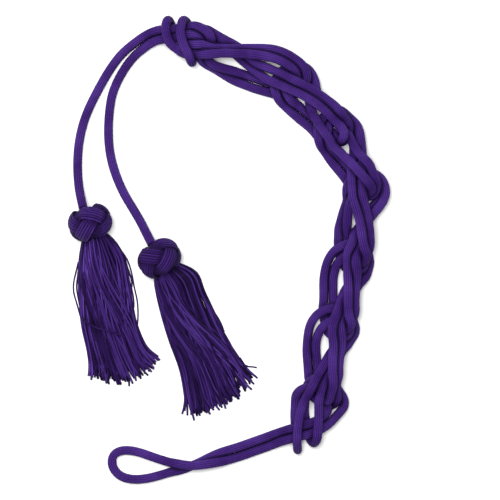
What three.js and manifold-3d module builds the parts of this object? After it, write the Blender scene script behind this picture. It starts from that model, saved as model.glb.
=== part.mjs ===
import * as THREE from 'three';
import { mergeVertices } from 'three/addons/utils/BufferGeometryUtils.js';
import Module from 'manifold-3d';

// A cincture: one long tubular-knit cord, doubled in the middle and chained on itself, with a tassel
// on each end. It lies on a flat surface at z = 0, as it is stored. Lengths are in millimetres. In
// plan +X is to the right and +Y is up. The group's origin is under the middle of its box.

// Driving sizes of the cord
const cordDiameter = 8;
const packedDiameter = 7.5; // where strands press on each other the knit gives
const cordSides = 8;
const seatGap = 0.3; // between pieces that touch

// Driving sizes of each tassel's knot, which is a ball worked over the end of the cord
const knotWidth = 38;
const knotHeight = 35;
const knotFlat = 1.2; // how far its underside is pressed flat
const knotTurns = 3; // how often its band goes round
const knotBights = 4; // and the bends at each end of the ball
const knotTilt = 0.68; // how far it swings from the ball's middle towards each end, in radians
const bandWidth = 11.5;
const bandHigh = 2.6;
const bandInset = 0.35; // depth of the band's middle below the ball's surface, in band heights
const bandDip = 0.8; // how much deeper it is where it passes under itself
const bandRoot = 2; // how far it reaches down towards the core
const bandCrown = { high: 0.5, wide: 0.55 }; // its raised top, and the top's share of its width
const bandOverlap = 0.06; // of each of its pieces with the next, as a share of their length
const coreInset = 1.6;
const socketDepth = 24; // length of the cord's end that is let into it
const socketGap = 0.5; // round the cord there

// Driving sizes of each tassel's fringe
const fringeHigh = 13; // next to the knot
const fringeEnd = 5; // at the string ends
const fringeGap = 1.1; // round the knot's ball, because its bands stand a little proud
const backingThick = 2.5;
const lowerLocks = { count: 7, reach: 1, level: 0.3 }; // level is the middle's share of the height there
const upperLocks = { count: 5, reach: 0.82, level: 0.64 };
const lockHalfHigh = 0.36; // half a lock's height, as a share of the fringe's height there
const lockHalfWide = 0.62; // half its width, as a share of the room for each lock

// How the cord settles on itself
const lineStep = 2.5; // between the points that are moved
const finePoints = 12; // of the smooth curve, between two chosen points
const settling = {
  rounds: 200,
  clearance: cordDiameter * 1.075, // between the middles of two strands that touch
  home: 0.06, // pull towards the chosen place in plan
  homeHeight: 0.012, // the same for height
  stiffness: 0.15,
  lateStiffness: 0.045, // in the last quarter of the rounds
  fall: 0.04, // drop in each of the last rounds
  aside: 0.75, // share of a push that moves strands sideways
  upwards: 1.35, // and up or down
};

// Rings of the cord's tube
const mostTurn = 30; // degrees between two rings
const mostApart = 2.2 * cordDiameter;
const leastApart = 3;

// The route of the left tassel's strand, from its knot to the fold in the middle of the cord. Each
// point is x, y and the height of the cord's middle in cord diameters: 0.5 lies on the surface, 1.5
// lies on one strand and 2.5 on two. The strand is the inner one of each doubled link.
const leftStrand = {
  left_tail: [
    [-131.5, 36.8, 2], [-134.5, 48.5, 1.5], [-136.5, 58.5, 0.8], [-137.5, 72, 0.5], [-137, 90, 0.5],
    [-135, 103.5, 0.5], [-131.5, 117, 0.5], [-126, 130.5, 0.5], [-118, 146, 0.5], [-108.5, 162.5, 0.5],
    [-97.2, 177.3, 0.5], [-84.2, 188, 0.5], [-73.5, 195.2, 0.8], [-65, 198, 1.3], [-56.5, 199, 1.55],
    [-47.5, 199.5, 1.7], [-38, 200.5, 2.4], [-30.5, 200, 2.7],
  ],
  left_band: [
    [-25, 198, 2.7], [-21.5, 193.5, 2.5], [-21, 188, 1.9], [-24.5, 184, 0.9], [-31.5, 185.5, 0.5],
    [-40.5, 187.5, 0.5], [-48.5, 191, 0.5], [-52.5, 197, 0.5], [-53, 203.5, 0.8], [-55, 204, 1.7],
    [-57.5, 202.5, 2.6], [-58, 197, 2.7], [-56.5, 190, 2.5], [-53, 184.5, 2], [-47, 180.5, 1.6],
    [-39.5, 178.5, 1.6], [-33.5, 178, 2.2],
  ],
  inner_link_1: [
    // down over the pile
    [-27, 177.5, 2.8], [-13.5, 176.5, 2.9], [0, 176, 2.9], [14.5, 175.5, 3], [29, 174, 2.9],
    [43, 170.5, 2.8], [54, 164.5, 2.8], [60.5, 158.5, 2.4], [62, 153, 1.6],
    // round the tip and back up underneath
    [58.5, 148.5, 0.7], [51.5, 147, 0.5], [43, 148.5, 0.5], [34, 151, 0.5], [29, 152.5, 0.5],
    [20, 155.8, 0.5], [9, 158.5, 0.6], [-2, 161.5, 1], [-12.5, 165, 1.4], [-20, 169.5, 1.6],
    [-23, 176.5, 1.55], [-23.5, 183.5, 1.55], [-21.5, 188.5, 1.4],
    // down the right side
    [-15.5, 188, 1.2], [-8, 186, 1], [-1, 182, 1], [5.5, 176.5, 1.2], [11.5, 171, 1.3], [18, 165, 1.5],
    [24.5, 159.5, 1.9],
  ],
  inner_link_2: [
    // down over the pile
    [31.5, 153.5, 2.5], [40.5, 149.5, 2.7], [49.5, 146, 2.8], [58.5, 142, 2.9], [67.5, 137, 3],
    [76.5, 132, 3.1], [85.5, 124.5, 3.1], [93.5, 116.5, 3], [101.5, 108.5, 2.8], [106, 101.5, 2.2],
    // round the tip and back up underneath
    [103, 99.5, 1.2], [94.5, 103, 0.6], [86.5, 109.5, 0.5], [78.5, 115.5, 0.5], [73, 120, 0.5],
    [65.5, 126, 0.5], [58.5, 132, 0.8], [51.5, 137.5, 1.3], [47.5, 145, 1.55], [49.5, 152, 1.55],
    [56, 156.5, 1.55],
    // down the right side
    [62, 156.5, 1.4], [67, 152, 1], [69, 146, 0.8], [69.5, 138.5, 0.8], [71, 130.5, 1], [74, 124, 1.3],
    [76.5, 119, 1.8],
  ],
  inner_link_3: [
    // down over the pile
    [81, 110.5, 2.5], [87.5, 101.5, 2.8], [94.5, 92.5, 2.8], [102, 84, 2.9], [110, 76, 3], [117, 67.5, 3],
    [123.5, 59, 2.9], [128, 52, 2.3],
    // round the tip and back up underneath
    [125, 49.5, 1.4], [118.5, 54.5, 0.8], [112.5, 63, 0.5], [107, 72, 0.5], [100, 81, 0.5],
    [93.5, 89, 0.8], [89, 96.5, 1.2], [86.5, 104.5, 1.55], [86.5, 111.5, 1.55], [90, 117, 1.55],
    // down the right side
    [96.5, 116, 1.4], [102.5, 113.5, 1], [107, 108, 0.7], [110, 101, 0.6], [111.5, 92.5, 0.7],
    [111.5, 83.5, 1], [110, 75.5, 1.4],
  ],
  inner_link_4: [
    // down over the pile
    [109, 65.5, 2], [110, 54, 2.6], [112, 40.5, 2.8], [115.5, 29, 3], [118.5, 18, 3], [119, 4.5, 2.9],
    [118.5, -6.5, 2.5], [116.5, -13.5, 1.8],
    // round the tip and back up underneath
    [111.5, -13.5, 0.8], [107.5, -6.5, 0.5], [106, 2.5, 0.5], [105.5, 12.5, 0.8], [104.5, 23.5, 1.1],
    [105.5, 34, 1.2], [108, 45, 1.3], [111.5, 54, 1.55], [115, 60.5, 1.55], [121.5, 62.5, 1.55],
    // down the right side
    [127, 60.5, 1.4], [131, 55, 1], [131.5, 47.5, 0.7], [129, 41.5, 0.7], [125.5, 34, 0.9],
    [121, 26, 1.3], [116, 18, 1.7],
  ],
  inner_link_5: [
    // down over the pile
    [112, 10, 2.2], [109, 2, 2.6], [106.5, -7, 2.8], [106, -18, 2.8], [106, -31.5, 3], [106, -45, 3],
    [105.5, -58.5, 2.9], [104.5, -68.5, 2.5], [101, -74.5, 1.6],
    // round the tip and back up underneath
    [97.5, -73, 0.7], [95, -65.5, 0.5], [93.5, -56.5, 0.5], [93.5, -47.5, 0.5], [93, -38.5, 0.5],
    [92.5, -29.5, 0.7], [93.5, -20, 1.1], [96.5, -11.5, 1.4], [101.5, -5.5, 1.55], [109, -2, 1.55],
    // down the right side
    [115, -3.5, 1.55], [117.5, -9.5, 1.1], [117, -16, 0.8], [114, -23.5, 0.8], [109.5, -29.5, 1.1],
    [104.5, -37.5, 1.5], [101, -46, 1.8],
  ],
  inner_link_6: [
    // down over the pile
    [97, -55, 2.4], [94.5, -65, 2.7], [93.5, -75.5, 2.8], [93, -86.5, 2.8], [92, -97, 2.9], [92, -108, 3],
    [91.5, -119.5, 2.9], [90.5, -129.5, 2.5], [88, -137, 1.8],
    // round the tip and back up underneath
    [83, -134, 0.8], [80.5, -127, 0.5], [79, -119, 0.5], [79, -110.5, 0.5], [78.5, -102.5, 0.5],
    [77, -93.5, 0.7], [77, -84.5, 1.1], [79, -75.5, 1.4], [83.5, -68, 1.55], [90, -63, 1.55],
    [97, -61.5, 1.55],
    // down the right side
    [102, -64.5, 1.4], [103, -70, 1], [101.5, -76.5, 0.8], [99, -83, 0.8], [95, -89, 1.2],
    [90.5, -96, 1.6], [86, -104.5, 1.9],
  ],
  inner_link_7: [
    // down over the pile
    [80, -112.5, 2.4], [74, -120.5, 2.7], [68.5, -129.5, 2.7], [65, -139.5, 2.7], [62, -148.5, 2.8],
    [61, -158.5, 2.8], [60, -169, 2.7], [60.5, -177.5, 2.1],
    // round the tip and back up underneath
    [61, -180.5, 1], [60.5, -174.5, 0.5], [59, -165.5, 0.5], [58.5, -155.5, 0.5], [58, -146.5, 0.5],
    [59, -137, 0.6], [62, -127.5, 1], [68.5, -120.5, 1.55], [75.5, -121.5, 1.55], [82, -122.5, 1.55],
    // down the right side
    [87, -126, 1.55], [90, -132, 1.55], [91.5, -138.5, 1.55], [88.5, -145.5, 1.55], [83.5, -151, 1.55],
    [76.5, -154.5, 1.55], [66.5, -157.5, 1.55],
  ],
  lower_run: [
    [56.5, -160.5, 1.4], [46, -164.5, 0.9], [33.5, -169, 0.5], [20.5, -173, 0.5], [7, -178, 0.5],
    [-4.5, -182, 0.5], [-17, -187, 0.5], [-28, -192, 0.5], [-38.5, -196, 0.5], [-49.5, -199, 0.5],
    [-63, -203, 0.5], [-74.5, -206, 0.5], [-87.5, -207, 0.5], [-98, -204.5, 0.5], [-105, -198, 0.5],
    [-107, -190, 0.5], [-104.5, -183.5, 0.5],
  ],
};

// The same for the right tassel's strand, the outer one of each link. Both meet at the fold.
const rightStrand = {
  right_tail: [
    [-69.8, 4.7, 2], [-75.5, 15.5, 1.5], [-80, 24.5, 0.8], [-88, 38, 0.5], [-95.5, 50.5, 0.5],
    [-103, 67.5, 0.5], [-108, 85.5, 0.5], [-109.5, 99, 0.5], [-109.5, 116, 0.5], [-106, 141.5, 0.5],
    [-97.5, 159.6, 0.5], [-88.3, 172.8, 0.5], [-78, 181.8, 0.7], [-68.5, 188, 1.2], [-57.5, 191, 1.55],
    [-47.5, 191, 1.7], [-38, 192, 2.3], [-30.5, 191.5, 2.5],
  ],
  right_band: [
    [-26, 189.5, 2.1], [-25, 190, 1.3], [-28, 191, 0.6], [-32.5, 194.5, 0.5], [-36, 200, 0.5],
    [-37.5, 201.5, 0.8], [-40.5, 203, 1.7], [-43.5, 201, 2.7], [-44.5, 194.5, 3.1], [-43, 186.5, 3.1],
    [-39.5, 179, 3], [-34, 175, 2.5], [-31, 172.5, 1.6], [-34, 173, 0.7], [-38.5, 177.5, 0.5],
    [-38.5, 182.5, 0.9], [-35, 186, 1.7],
  ],
  outer_link_1: [
    // down over the pile
    [-28, 183.5, 2.5], [-20, 181.5, 2.4], [0, 180.5, 2.3], [14.5, 180.5, 2.4], [29, 181, 2.4],
    [40.5, 180, 2.5], [52, 175.5, 2.6], [61, 169, 2.6], [66.5, 162, 2.4], [68.5, 155, 1.7],
    // round the tip and back up underneath
    [65.5, 147.5, 0.7], [59.5, 142, 0.5], [50.5, 140, 0.5], [42.5, 140.2, 0.5], [36, 141.5, 0.5],
    [29.5, 143.4, 0.5], [20, 146, 0.5], [11, 150.4, 0.5], [1, 155, 0.5], [-7, 160, 0.5],
    [-15.5, 164.5, 0.5], [-22, 169.5, 0.8], [-27.5, 175.5, 1.4], [-29.5, 182, 1.55], [-30.5, 187.5, 1.55],
    [-27.5, 192, 1.55],
    // down the right side
    [-21.5, 193.5, 1.55], [-15.5, 192.5, 1.5], [-9, 190.5, 1.4], [-2, 187, 1.3], [7, 183, 1.5],
    [13.5, 177.5, 1.6], [18, 172, 1.6], [23.5, 168, 2.1],
  ],
  outer_link_2: [
    // down over the pile
    [29.5, 165, 2.5], [40.5, 160.5, 2.5], [54, 154.5, 2.6], [63, 149.5, 2.6], [74, 143.5, 2.6],
    [83, 137.5, 2.7], [92, 130.5, 2.7], [100, 121.5, 2.6], [105, 113, 2.4], [107, 106, 1.9],
    // round the tip and back up underneath
    [105.5, 100, 0.9], [100.5, 96.5, 0.5], [94.5, 97.5, 0.5], [86.5, 101, 0.5], [79, 106, 0.5],
    [73, 110.5, 0.5], [65.5, 116.5, 0.5], [58.5, 122.5, 0.5], [51.5, 128, 0.7], [44, 136, 1.2],
    [39.5, 144, 1.55], [39, 151, 1.55], [43, 157.5, 1.55], [50.5, 162.5, 1.55], [58.5, 166.5, 1.55],
    // down the right side
    [65.5, 166.5, 1.55], [72, 162, 1.5], [75.5, 154, 1.4], [77, 146, 1.5], [78.5, 138.5, 1.65],
    [82, 130.5, 1.6],
  ],
  outer_link_3: [
    // down over the pile
    [88, 124, 1.5], [94.5, 118, 1.5], [101, 110, 1.6], [106, 101.5, 1.9], [110, 93.5, 2.3],
    [117, 84.5, 2.6], [123.5, 76.5, 2.6], [128.5, 68.5, 2.6], [132, 61, 2.4], [132, 54.5, 1.7],
    // round the tip and back up underneath
    [128, 49, 0.8], [122.5, 50, 0.5], [117, 54, 0.5], [111.5, 59.5, 0.5], [106, 65, 0.5], [101, 70, 0.5],
    [94.5, 77, 0.5], [89, 84, 0.5], [84, 92, 0.7], [80.5, 99, 1.2], [79, 107, 1.55], [79.5, 115, 1.55],
    [83.5, 121, 1.55], [90, 124.5, 1.55],
    // down the right side
    [97, 124, 1.55], [103.5, 122.5, 1.5], [109, 118, 1.4], [113.5, 110.5, 1.4], [117, 101.5, 1.3],
    [119, 92.5, 1.4], [119.5, 83.5, 1.6], [118.5, 75.5, 1.6],
  ],
  outer_link_4: [
    // down over the pile
    [117.5, 66.5, 1.6], [119, 58.5, 1.9], [119.5, 49.5, 2.3], [121, 39.5, 2.5], [123.5, 29, 2.6],
    [124.5, 18, 2.6], [124.5, 6.5, 2.5], [123, -4.5, 2.3], [119.5, -13.5, 1.7],
    // round the tip and back up underneath
    [115.5, -19, 0.8], [110, -17, 0.5], [104.5, -11, 0.5], [101, -2.5, 0.5], [99, 6.5, 0.5],
    [99.5, 16, 0.5], [101, 29, 0.5], [104, 39.5, 0.7], [107.5, 48.5, 1.2], [107.5, 57.5, 1.55],
    [109, 65, 1.55], [115, 69.5, 1.55], [123.5, 70, 1.55],
    // down the right side
    [131.5, 68.5, 1.55], [137, 64, 1.5], [140, 56.5, 1.4], [139.5, 49.5, 1.3], [137, 43, 1.3],
    [132.5, 37, 1.4], [127, 30.5, 1.6], [121.5, 22.5, 1.65], [118, 12.5, 1.6],
  ],
  outer_link_5: [
    // down over the pile
    [116, 2, 1.6], [115, -9, 1.9], [114, -20.5, 2.4], [113, -29.5, 2.6], [112, -40.5, 2.6],
    [111, -50.5, 2.6], [109.5, -60.5, 2.5], [107.5, -69.5, 2.2], [105, -76.5, 1.6],
    // round the tip and back up underneath
    [99, -78, 0.7], [92.5, -73.5, 0.5], [88, -66.5, 0.5], [85, -59.5, 0.5], [84, -52, 0.5],
    [84.5, -46, 0.5], [84.5, -38, 0.5], [84.5, -27, 0.6], [86, -15.5, 1], [89, -6.5, 1.4],
    [94.5, 0.5, 1.55], [101.5, 5, 1.55], [110, 7, 1.55], [118, 4.5, 1.55],
    // down the right side
    [123.5, -1, 1.55], [125.5, -7, 1.5], [125, -14.5, 1.4], [121.5, -21.5, 1.4], [117, -28, 1.5],
    [112.5, -34, 1.6], [107.5, -42.5, 1.6],
  ],
  outer_link_6: [
    // down over the pile
    [103.5, -51.5, 1.6], [101.5, -60.5, 1.6], [101, -70, 1.8], [101, -79, 2.2], [99.5, -90, 2.5],
    [97.5, -99, 2.6], [96.5, -108, 2.6], [95, -119, 2.6], [93.5, -131.5, 2.3], [91.5, -138.5, 1.7],
    // round the tip and back up underneath
    [87.5, -142, 0.8], [82, -137, 0.5], [76.5, -128.5, 0.5], [73, -120.5, 0.5], [71, -112.5, 0.5],
    [70.5, -105.5, 0.5], [70, -97, 0.5], [69.5, -88, 0.6], [70, -79, 0.9], [71, -70, 1.3],
    [74.5, -62, 1.55], [80, -56, 1.55], [88, -52, 1.55], [97, -52, 1.55], [105.5, -55, 1.55],
    // down the right side
    [110, -60.5, 1.55], [111, -66.5, 1.5], [110, -74, 1.4], [106, -80.5, 1.4], [102, -87, 1.6],
    [97, -94.5, 1.6], [92, -103.5, 1.6],
  ],
  outer_link_7: [
    // down over the pile
    [87.5, -111.5, 1.7], [83.5, -119.5, 2.2], [81.5, -128.5, 2.5], [80, -139.5, 2.6], [79.5, -150.5, 2.6],
    [79, -160, 2.7], [78.5, -167.5, 2.5], [76.5, -173, 1.7],
    // round the tip and back up underneath
    [74, -173.5, 0.7], [71, -168.5, 0.5], [69.5, -160, 0.5], [67.5, -151, 0.5], [67, -140.5, 0.5],
    [68.5, -129.5, 0.8], [71, -120.5, 1.2], [75.5, -114.5, 1.55], [83, -111.5, 1.55], [90, -115, 1.55],
    // down the right side
    [95.5, -122.5, 1.55], [99, -130.5, 1.55], [100, -138.5, 1.55], [97.5, -146, 1.55], [92.5, -153, 1.55],
    [85.5, -159, 1.55], [76.5, -163.5, 1.55],
  ],
  upper_run: [
    [65.5, -166.5, 1.55], [56, -168.5, 1.4], [45, -172, 0.9], [33.5, -177, 0.5], [20.5, -182, 0.5],
    [7.5, -186.5, 0.5], [-7, -189.5, 0.7], [-21.5, -192, 1.2], [-32.5, -194, 1.55], [-43, -193.5, 1.3],
    [-56, -191, 0.8], [-70, -186.5, 0.5], [-81, -182.5, 0.5], [-90, -180.5, 0.5], [-98, -180.5, 0.5],
  ],
};

// The two tassels. The knot's middle and the way its axis points, from the cord to the fringe, and the
// fringe's left and right edges in plan, from the knot down to the string ends.
const tassels = [
  {
    name: 'left',
    knot: [-126, 24.8],
    axis: [11.7, -33.3],
    phase: -25, // turn of the knot's band round the axis, in degrees
    leftEdge: [[-132.5, 12], [-135.5, -10.8], [-136, -31.5], [-134, -61], [-128.7, -87.3], [-125, -112]],
    rightEdge: [[-109, 15], [-96, -6.3], [-91.4, -28.8], [-87, -59.4], [-78.3, -83.7], [-66.5, -99]],
    belly: 11, // how much longer the middle strings are than those at the edges
  },
  {
    name: 'right',
    knot: [-63.4, -7.2],
    axis: [19.8, -30.6],
    phase: 19,
    leftEdge: [[-69, -21.6], [-65.7, -39.6], [-61.2, -58.5], [-54, -81.9], [-45, -107], [-38, -147]],
    rightEdge: [[-48.6, -10.8], [-30.5, -20.7], [-23.8, -36.9], [-14.4, -58.5], [-2, -82.8], [20, -115.5]],
    belly: 7,
  },
];

const wasm = await Module();
wasm.setup();

const violet = new THREE.Color(0x3c2378);

// A sweep whose rings are given one by one: where each ring is, and its side and up vectors, whose
// lengths stretch the section.
class Rings extends THREE.Curve {
  constructor(rings) {
    super();
    this.rings = rings;
  }

  getUtoTmapping(share) {
    return share;
  }

  getPoint(share, target = new THREE.Vector3()) {
    return target.copy(this.rings[Math.round(share * (this.rings.length - 1))].at);
  }

  computeFrenetFrames() {
    return {
      tangents: this.rings.map((ring) => ring.side.clone().cross(ring.up)),
      normals: this.rings.map((ring) => ring.side),
      binormals: this.rings.map((ring) => ring.up),
    };
  }
}

function roundSection(radius, sides) {
  const corners = [];
  for (let i = 0; i < sides; i += 1) {
    const angle = ((i + 0.5) / sides) * 2 * Math.PI;
    corners.push(new THREE.Vector2(radius * Math.cos(angle), radius * Math.sin(angle)));
  }
  return new THREE.Shape(corners);
}

function sweep(section, rings) {
  return new THREE.ExtrudeGeometry(section, {
    steps: rings.length - 1,
    extrudePath: new Rings(rings),
    bevelEnabled: false,
  });
}

// Solids for joining and cutting
function solidOf(geometry) {
  const bare = geometry.clone();
  bare.deleteAttribute('normal');
  bare.deleteAttribute('uv');
  const merged = mergeVertices(bare, 1e-4);
  return new wasm.Manifold(
    new wasm.Mesh({
      numProp: 3,
      vertProperties: new Float32Array(merged.attributes.position.array),
      triVerts: new Uint32Array(merged.index.array),
    }),
  );
}

function geometryOf(solid) {
  const { numProp, vertProperties, triVerts } = solid.getMesh();
  const corners = [];
  for (const vertex of triVerts) {
    const from = vertex * numProp;
    corners.push(vertProperties[from], vertProperties[from + 1], vertProperties[from + 2]);
  }
  const geometry = new THREE.BufferGeometry();
  geometry.setAttribute('position', new THREE.Float32BufferAttribute(corners, 3));
  geometry.computeVertexNormals();
  return geometry;
}

function joined(solids) {
  return solids.reduce((all, solid) => all.add(solid));
}

// What would lie under the surface that the tassels rest on
// Cuts away what would lie under the surface that the cincture rests on
const onSurface = (solid) => solid.trimByPlane([0, 0, 1], 0);

// The cord's line: a smooth curve through the chosen points, at equal steps
function pointsOf(strand) {
  return Object.entries(strand).flatMap(([stretch, rows]) =>
    rows.map(([x, y, level]) => ({ stretch, at: new THREE.Vector3(x, y, level * cordDiameter) })),
  );
}

function smoothLine(points, step) {
  const curve = new THREE.CatmullRomCurve3(points, false, 'centripetal');
  const fine = curve.getPoints(points.length * finePoints);
  const along = [0];
  for (let i = 1; i < fine.length; i += 1) {
    along.push(along[i - 1] + fine[i].distanceTo(fine[i - 1]));
  }
  const total = along.at(-1);
  const count = Math.round(total / step);
  const line = [];
  let piece = 0;
  for (let i = 0; i <= count; i += 1) {
    const place = (total * i) / count;
    while (piece < fine.length - 2 && along[piece + 1] < place) piece += 1;
    const share = (place - along[piece]) / (along[piece + 1] - along[piece]);
    line.push(fine[piece].clone().lerp(fine[piece + 1], share));
  }
  return line;
}

// Pairs of places on the line that may touch, leaving out those next to each other along the cord
function nearPairs(line, reach, skip) {
  const pairs = [];
  for (let i = 0; i < line.length; i += 1) {
    for (let j = i + skip; j < line.length; j += 1) {
      if (line[i].distanceToSquared(line[j]) < reach * reach) pairs.push([i, j]);
    }
  }
  return pairs;
}

function straighten(line, share) {
  const before = line.map((point) => point.clone());
  for (let i = 1; i < line.length - 1; i += 1) {
    const middle = before[i - 1].clone().add(before[i + 1]).multiplyScalar(0.5);
    line[i].addScaledVector(middle.sub(before[i]), share);
  }
}

function keepLengths(line, length) {
  for (let again = 0; again < 2; again += 1) {
    const moves = line.map(() => new THREE.Vector3());
    for (let i = 0; i < line.length - 1; i += 1) {
      const edge = line[i + 1].clone().sub(line[i]);
      const long = edge.length();
      edge.multiplyScalar((0.35 * (long - length)) / long);
      moves[i].add(edge);
      moves[i + 1].sub(edge);
    }
    for (let i = 1; i < line.length - 1; i += 1) line[i].add(moves[i]);
  }
}

function pushApart(line, pairs, { clearance, aside, upwards }) {
  const weight = new THREE.Vector3(aside, aside, upwards);
  for (let again = 0; again < 3; again += 1) {
    const moves = line.map(() => new THREE.Vector3());
    const touches = new Array(line.length).fill(0);
    for (const [i, j] of pairs) {
      const away = line[j].clone().sub(line[i]);
      const long = away.length();
      if (long < clearance) {
        away.multiplyScalar((0.5 * (clearance - long)) / long).multiply(weight);
        moves[i].sub(away);
        moves[j].add(away);
        touches[i] += 1;
        touches[j] += 1;
      }
    }
    line.forEach((point, i) => {
      if (touches[i]) point.addScaledVector(moves[i], 1.2 / touches[i]);
      point.z = Math.max(point.z, cordDiameter / 2);
    });
  }
}

// Lays the cord down: strands push each other apart until they only touch, keep their length, and
// stay close to the chosen places.
function settle(line, rules) {
  const chosen = line.map((point) => point.clone());
  const length = line[0].distanceTo(line[1]);
  const skip = Math.ceil((Math.PI * rules.clearance) / 2 / length);
  const pull = new THREE.Vector3(rules.home, rules.home, rules.homeHeight);
  let pairs = [];
  for (let round = 0; round < rules.rounds; round += 1) {
    const late = round > rules.rounds * 0.75;
    if (round % 8 === 0) pairs = nearPairs(line, rules.clearance * 1.6, skip);
    for (let i = 1; i < line.length - 1; i += 1) {
      if (late) line[i].z -= rules.fall;
      else line[i].add(chosen[i].clone().sub(line[i]).multiply(pull));
    }
    straighten(line, late ? rules.lateStiffness : rules.stiffness);
    keepLengths(line, length);
    pushApart(line, pairs, rules);
  }
  return line;
}

const chosenPoints = [...pointsOf(leftStrand), ...pointsOf(rightStrand).reverse()];
const cordLine = settle(smoothLine(chosenPoints.map((point) => point.at), lineStep), settling);

// A place along the cord, in steps of the line
function placeAt(place) {
  const from = Math.min(Math.max(Math.floor(place), 0), cordLine.length - 2);
  return cordLine[from].clone().lerp(cordLine[from + 1], place - from);
}

function headingAt(place) {
  return placeAt(Math.min(place + 1, cordLine.length - 1)).sub(placeAt(Math.max(place - 1, 0))).normalize();
}

// Where each stretch of the cord begins and ends. A stretch ends halfway between its last chosen point
// and the next one's first.
function stretches() {
  const fine = new THREE.CatmullRomCurve3(chosenPoints.map((point) => point.at), false, 'centripetal');
  const count = chosenPoints.length - 1;
  const shares = fine.getLengths(count * finePoints);
  const steps = cordLine.length - 1;
  const found = [{ name: chosenPoints[0].stretch, from: 0 }];
  for (let i = 1; i <= count; i += 1) {
    if (chosenPoints[i].stretch !== chosenPoints[i - 1].stretch) {
      const place = (shares[(i - 0.5) * finePoints] / shares.at(-1)) * steps;
      found.at(-1).to = place;
      found.push({ name: chosenPoints[i].stretch, from: place });
    }
  }
  found.at(-1).to = steps;
  return found;
}

// Rings of a stretch: closer together where the cord bends. The side vector is carried along without
// twisting.
function cordRings(from, to) {
  const least = leastApart / lineStep;
  const places = [from];
  let turned = 0;
  for (let place = Math.floor(from) + 1; place < to - least; place += 1) {
    turned += THREE.MathUtils.radToDeg(headingAt(place).angleTo(headingAt(place - 1)));
    const gone = place - places.at(-1);
    if (gone > least && (turned > mostTurn || gone > mostApart / lineStep)) {
      places.push(place);
      turned = 0;
    }
  }
  places.push(to);
  const side = new THREE.Vector3(0, 0, 1).cross(headingAt(from)).normalize();
  return places.map((place) => {
    const heading = headingAt(place);
    side.addScaledVector(heading, -side.dot(heading)).normalize();
    return { at: placeAt(place), side: side.clone(), up: heading.clone().cross(side) };
  });
}

// A tassel's knot: a ball with one flat band woven round it, over and under itself
function knotPoint(tassel, share) {
  const angle = 2 * Math.PI * share;
  const axis = new THREE.Vector3(...tassel.axis, 0).normalize();
  const across = new THREE.Vector3(0, 0, 1).cross(axis);
  const tilt = knotTilt * Math.cos(knotBights * angle);
  const round = knotTurns * angle + THREE.MathUtils.degToRad(tassel.phase);
  const out = new THREE.Vector3()
    .addScaledVector(axis, Math.sin(tilt))
    .addScaledVector(across, Math.cos(tilt) * Math.cos(round))
    .addScaledVector(new THREE.Vector3(0, 0, 1), Math.cos(tilt) * Math.sin(round));
  const under = 0.5 + 0.5 * Math.sin(2 * knotBights * angle);
  const radius = knotWidth / 2 - bandHigh * (bandInset + bandDip * under);
  const at = out.clone().multiplyScalar(radius);
  at.z *= knotHeight / knotWidth;
  return { at: at.add(knotMiddle(tassel)), out };
}

function knotMiddle(tassel) {
  return new THREE.Vector3(...tassel.knot, knotHeight / 2 - knotFlat);
}

function bandPiece(tassel, from, to) {
  const half = bandWidth / 2;
  const section = new THREE.Shape([
    new THREE.Vector2(-half, -bandRoot * bandHigh),
    new THREE.Vector2(half, -bandRoot * bandHigh),
    new THREE.Vector2(half, 0),
    new THREE.Vector2(half * bandCrown.wide, bandHigh * bandCrown.high),
    new THREE.Vector2(-half * bandCrown.wide, bandHigh * bandCrown.high),
    new THREE.Vector2(-half, 0),
  ]);
  const steps = 4;
  const rings = [];
  for (let i = 0; i <= steps; i += 1) {
    const share = from + ((to - from) * i) / steps;
    const { at, out } = knotPoint(tassel, share);
    const next = knotPoint(tassel, share + 1e-3).at;
    const heading = next.sub(knotPoint(tassel, share - 1e-3).at).normalize();
    const up = out.addScaledVector(heading, -out.dot(heading)).normalize();
    rings.push({ at, side: up.clone().cross(heading), up });
  }
  return solidOf(sweep(section, rings));
}

function knotSolid(tassel, endRings) {
  const core = new THREE.SphereGeometry(knotWidth / 2 - coreInset * bandHigh, 14, 8);
  core.scale(1, 1, knotHeight / knotWidth);
  core.translate(...knotMiddle(tassel).toArray());
  const pieces = [solidOf(core)];
  const count = 2 * knotBights;
  for (let i = 0; i < count; i += 1) {
    pieces.push(bandPiece(tassel, i / count, (i + 1 + bandOverlap) / count));
  }
  const socket = sweep(roundSection(packedDiameter / 2 + socketGap, cordSides), endRings);
  return onSurface(joined(pieces)).subtract(solidOf(socket));
}

// A tassel's fringe: locks of string fused to a backing. A place in it is a share across, from its left
// edge to its right, and a share along, from the knot to the string ends.
function fringePoint(tassel, across, along) {
  const share = THREE.MathUtils.clamp(along, 0, 1);
  const edge = (rows) =>
    new THREE.CatmullRomCurve3(rows.map(([x, y]) => new THREE.Vector3(x, y, 0))).getPoint(share);
  const left = edge(tassel.leftEdge);
  const right = edge(tassel.rightEdge);
  const down = right.clone().sub(left).applyAxisAngle(new THREE.Vector3(0, 0, 1), -Math.PI / 2).normalize();
  const sag = tassel.belly * Math.sin(Math.PI * across) * along * along;
  return left.lerp(right, across).addScaledVector(down, sag);
}

function lock(tassel, index, { count, reach, level }) {
  const steps = 5;
  const rings = [];
  const across = (index + 0.5) / count;
  for (let i = 0; i <= steps; i += 1) {
    const along = (reach * i) / steps;
    const at = fringePoint(tassel, across, along);
    const next = fringePoint(tassel, across, along + 0.01);
    const heading = next.sub(fringePoint(tassel, across, along - 0.01)).normalize();
    const high = THREE.MathUtils.lerp(fringeHigh, fringeEnd, along);
    const wide = fringePoint(tassel, 1, along).distanceTo(fringePoint(tassel, 0, along));
    at.z = high * level;
    const side = new THREE.Vector3(0, 0, 1).cross(heading).multiplyScalar((lockHalfWide * wide) / count);
    rings.push({ at, side, up: new THREE.Vector3(0, 0, high * lockHalfHigh) });
  }
  return solidOf(sweep(roundSection(1, 6), rings));
}

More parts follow.
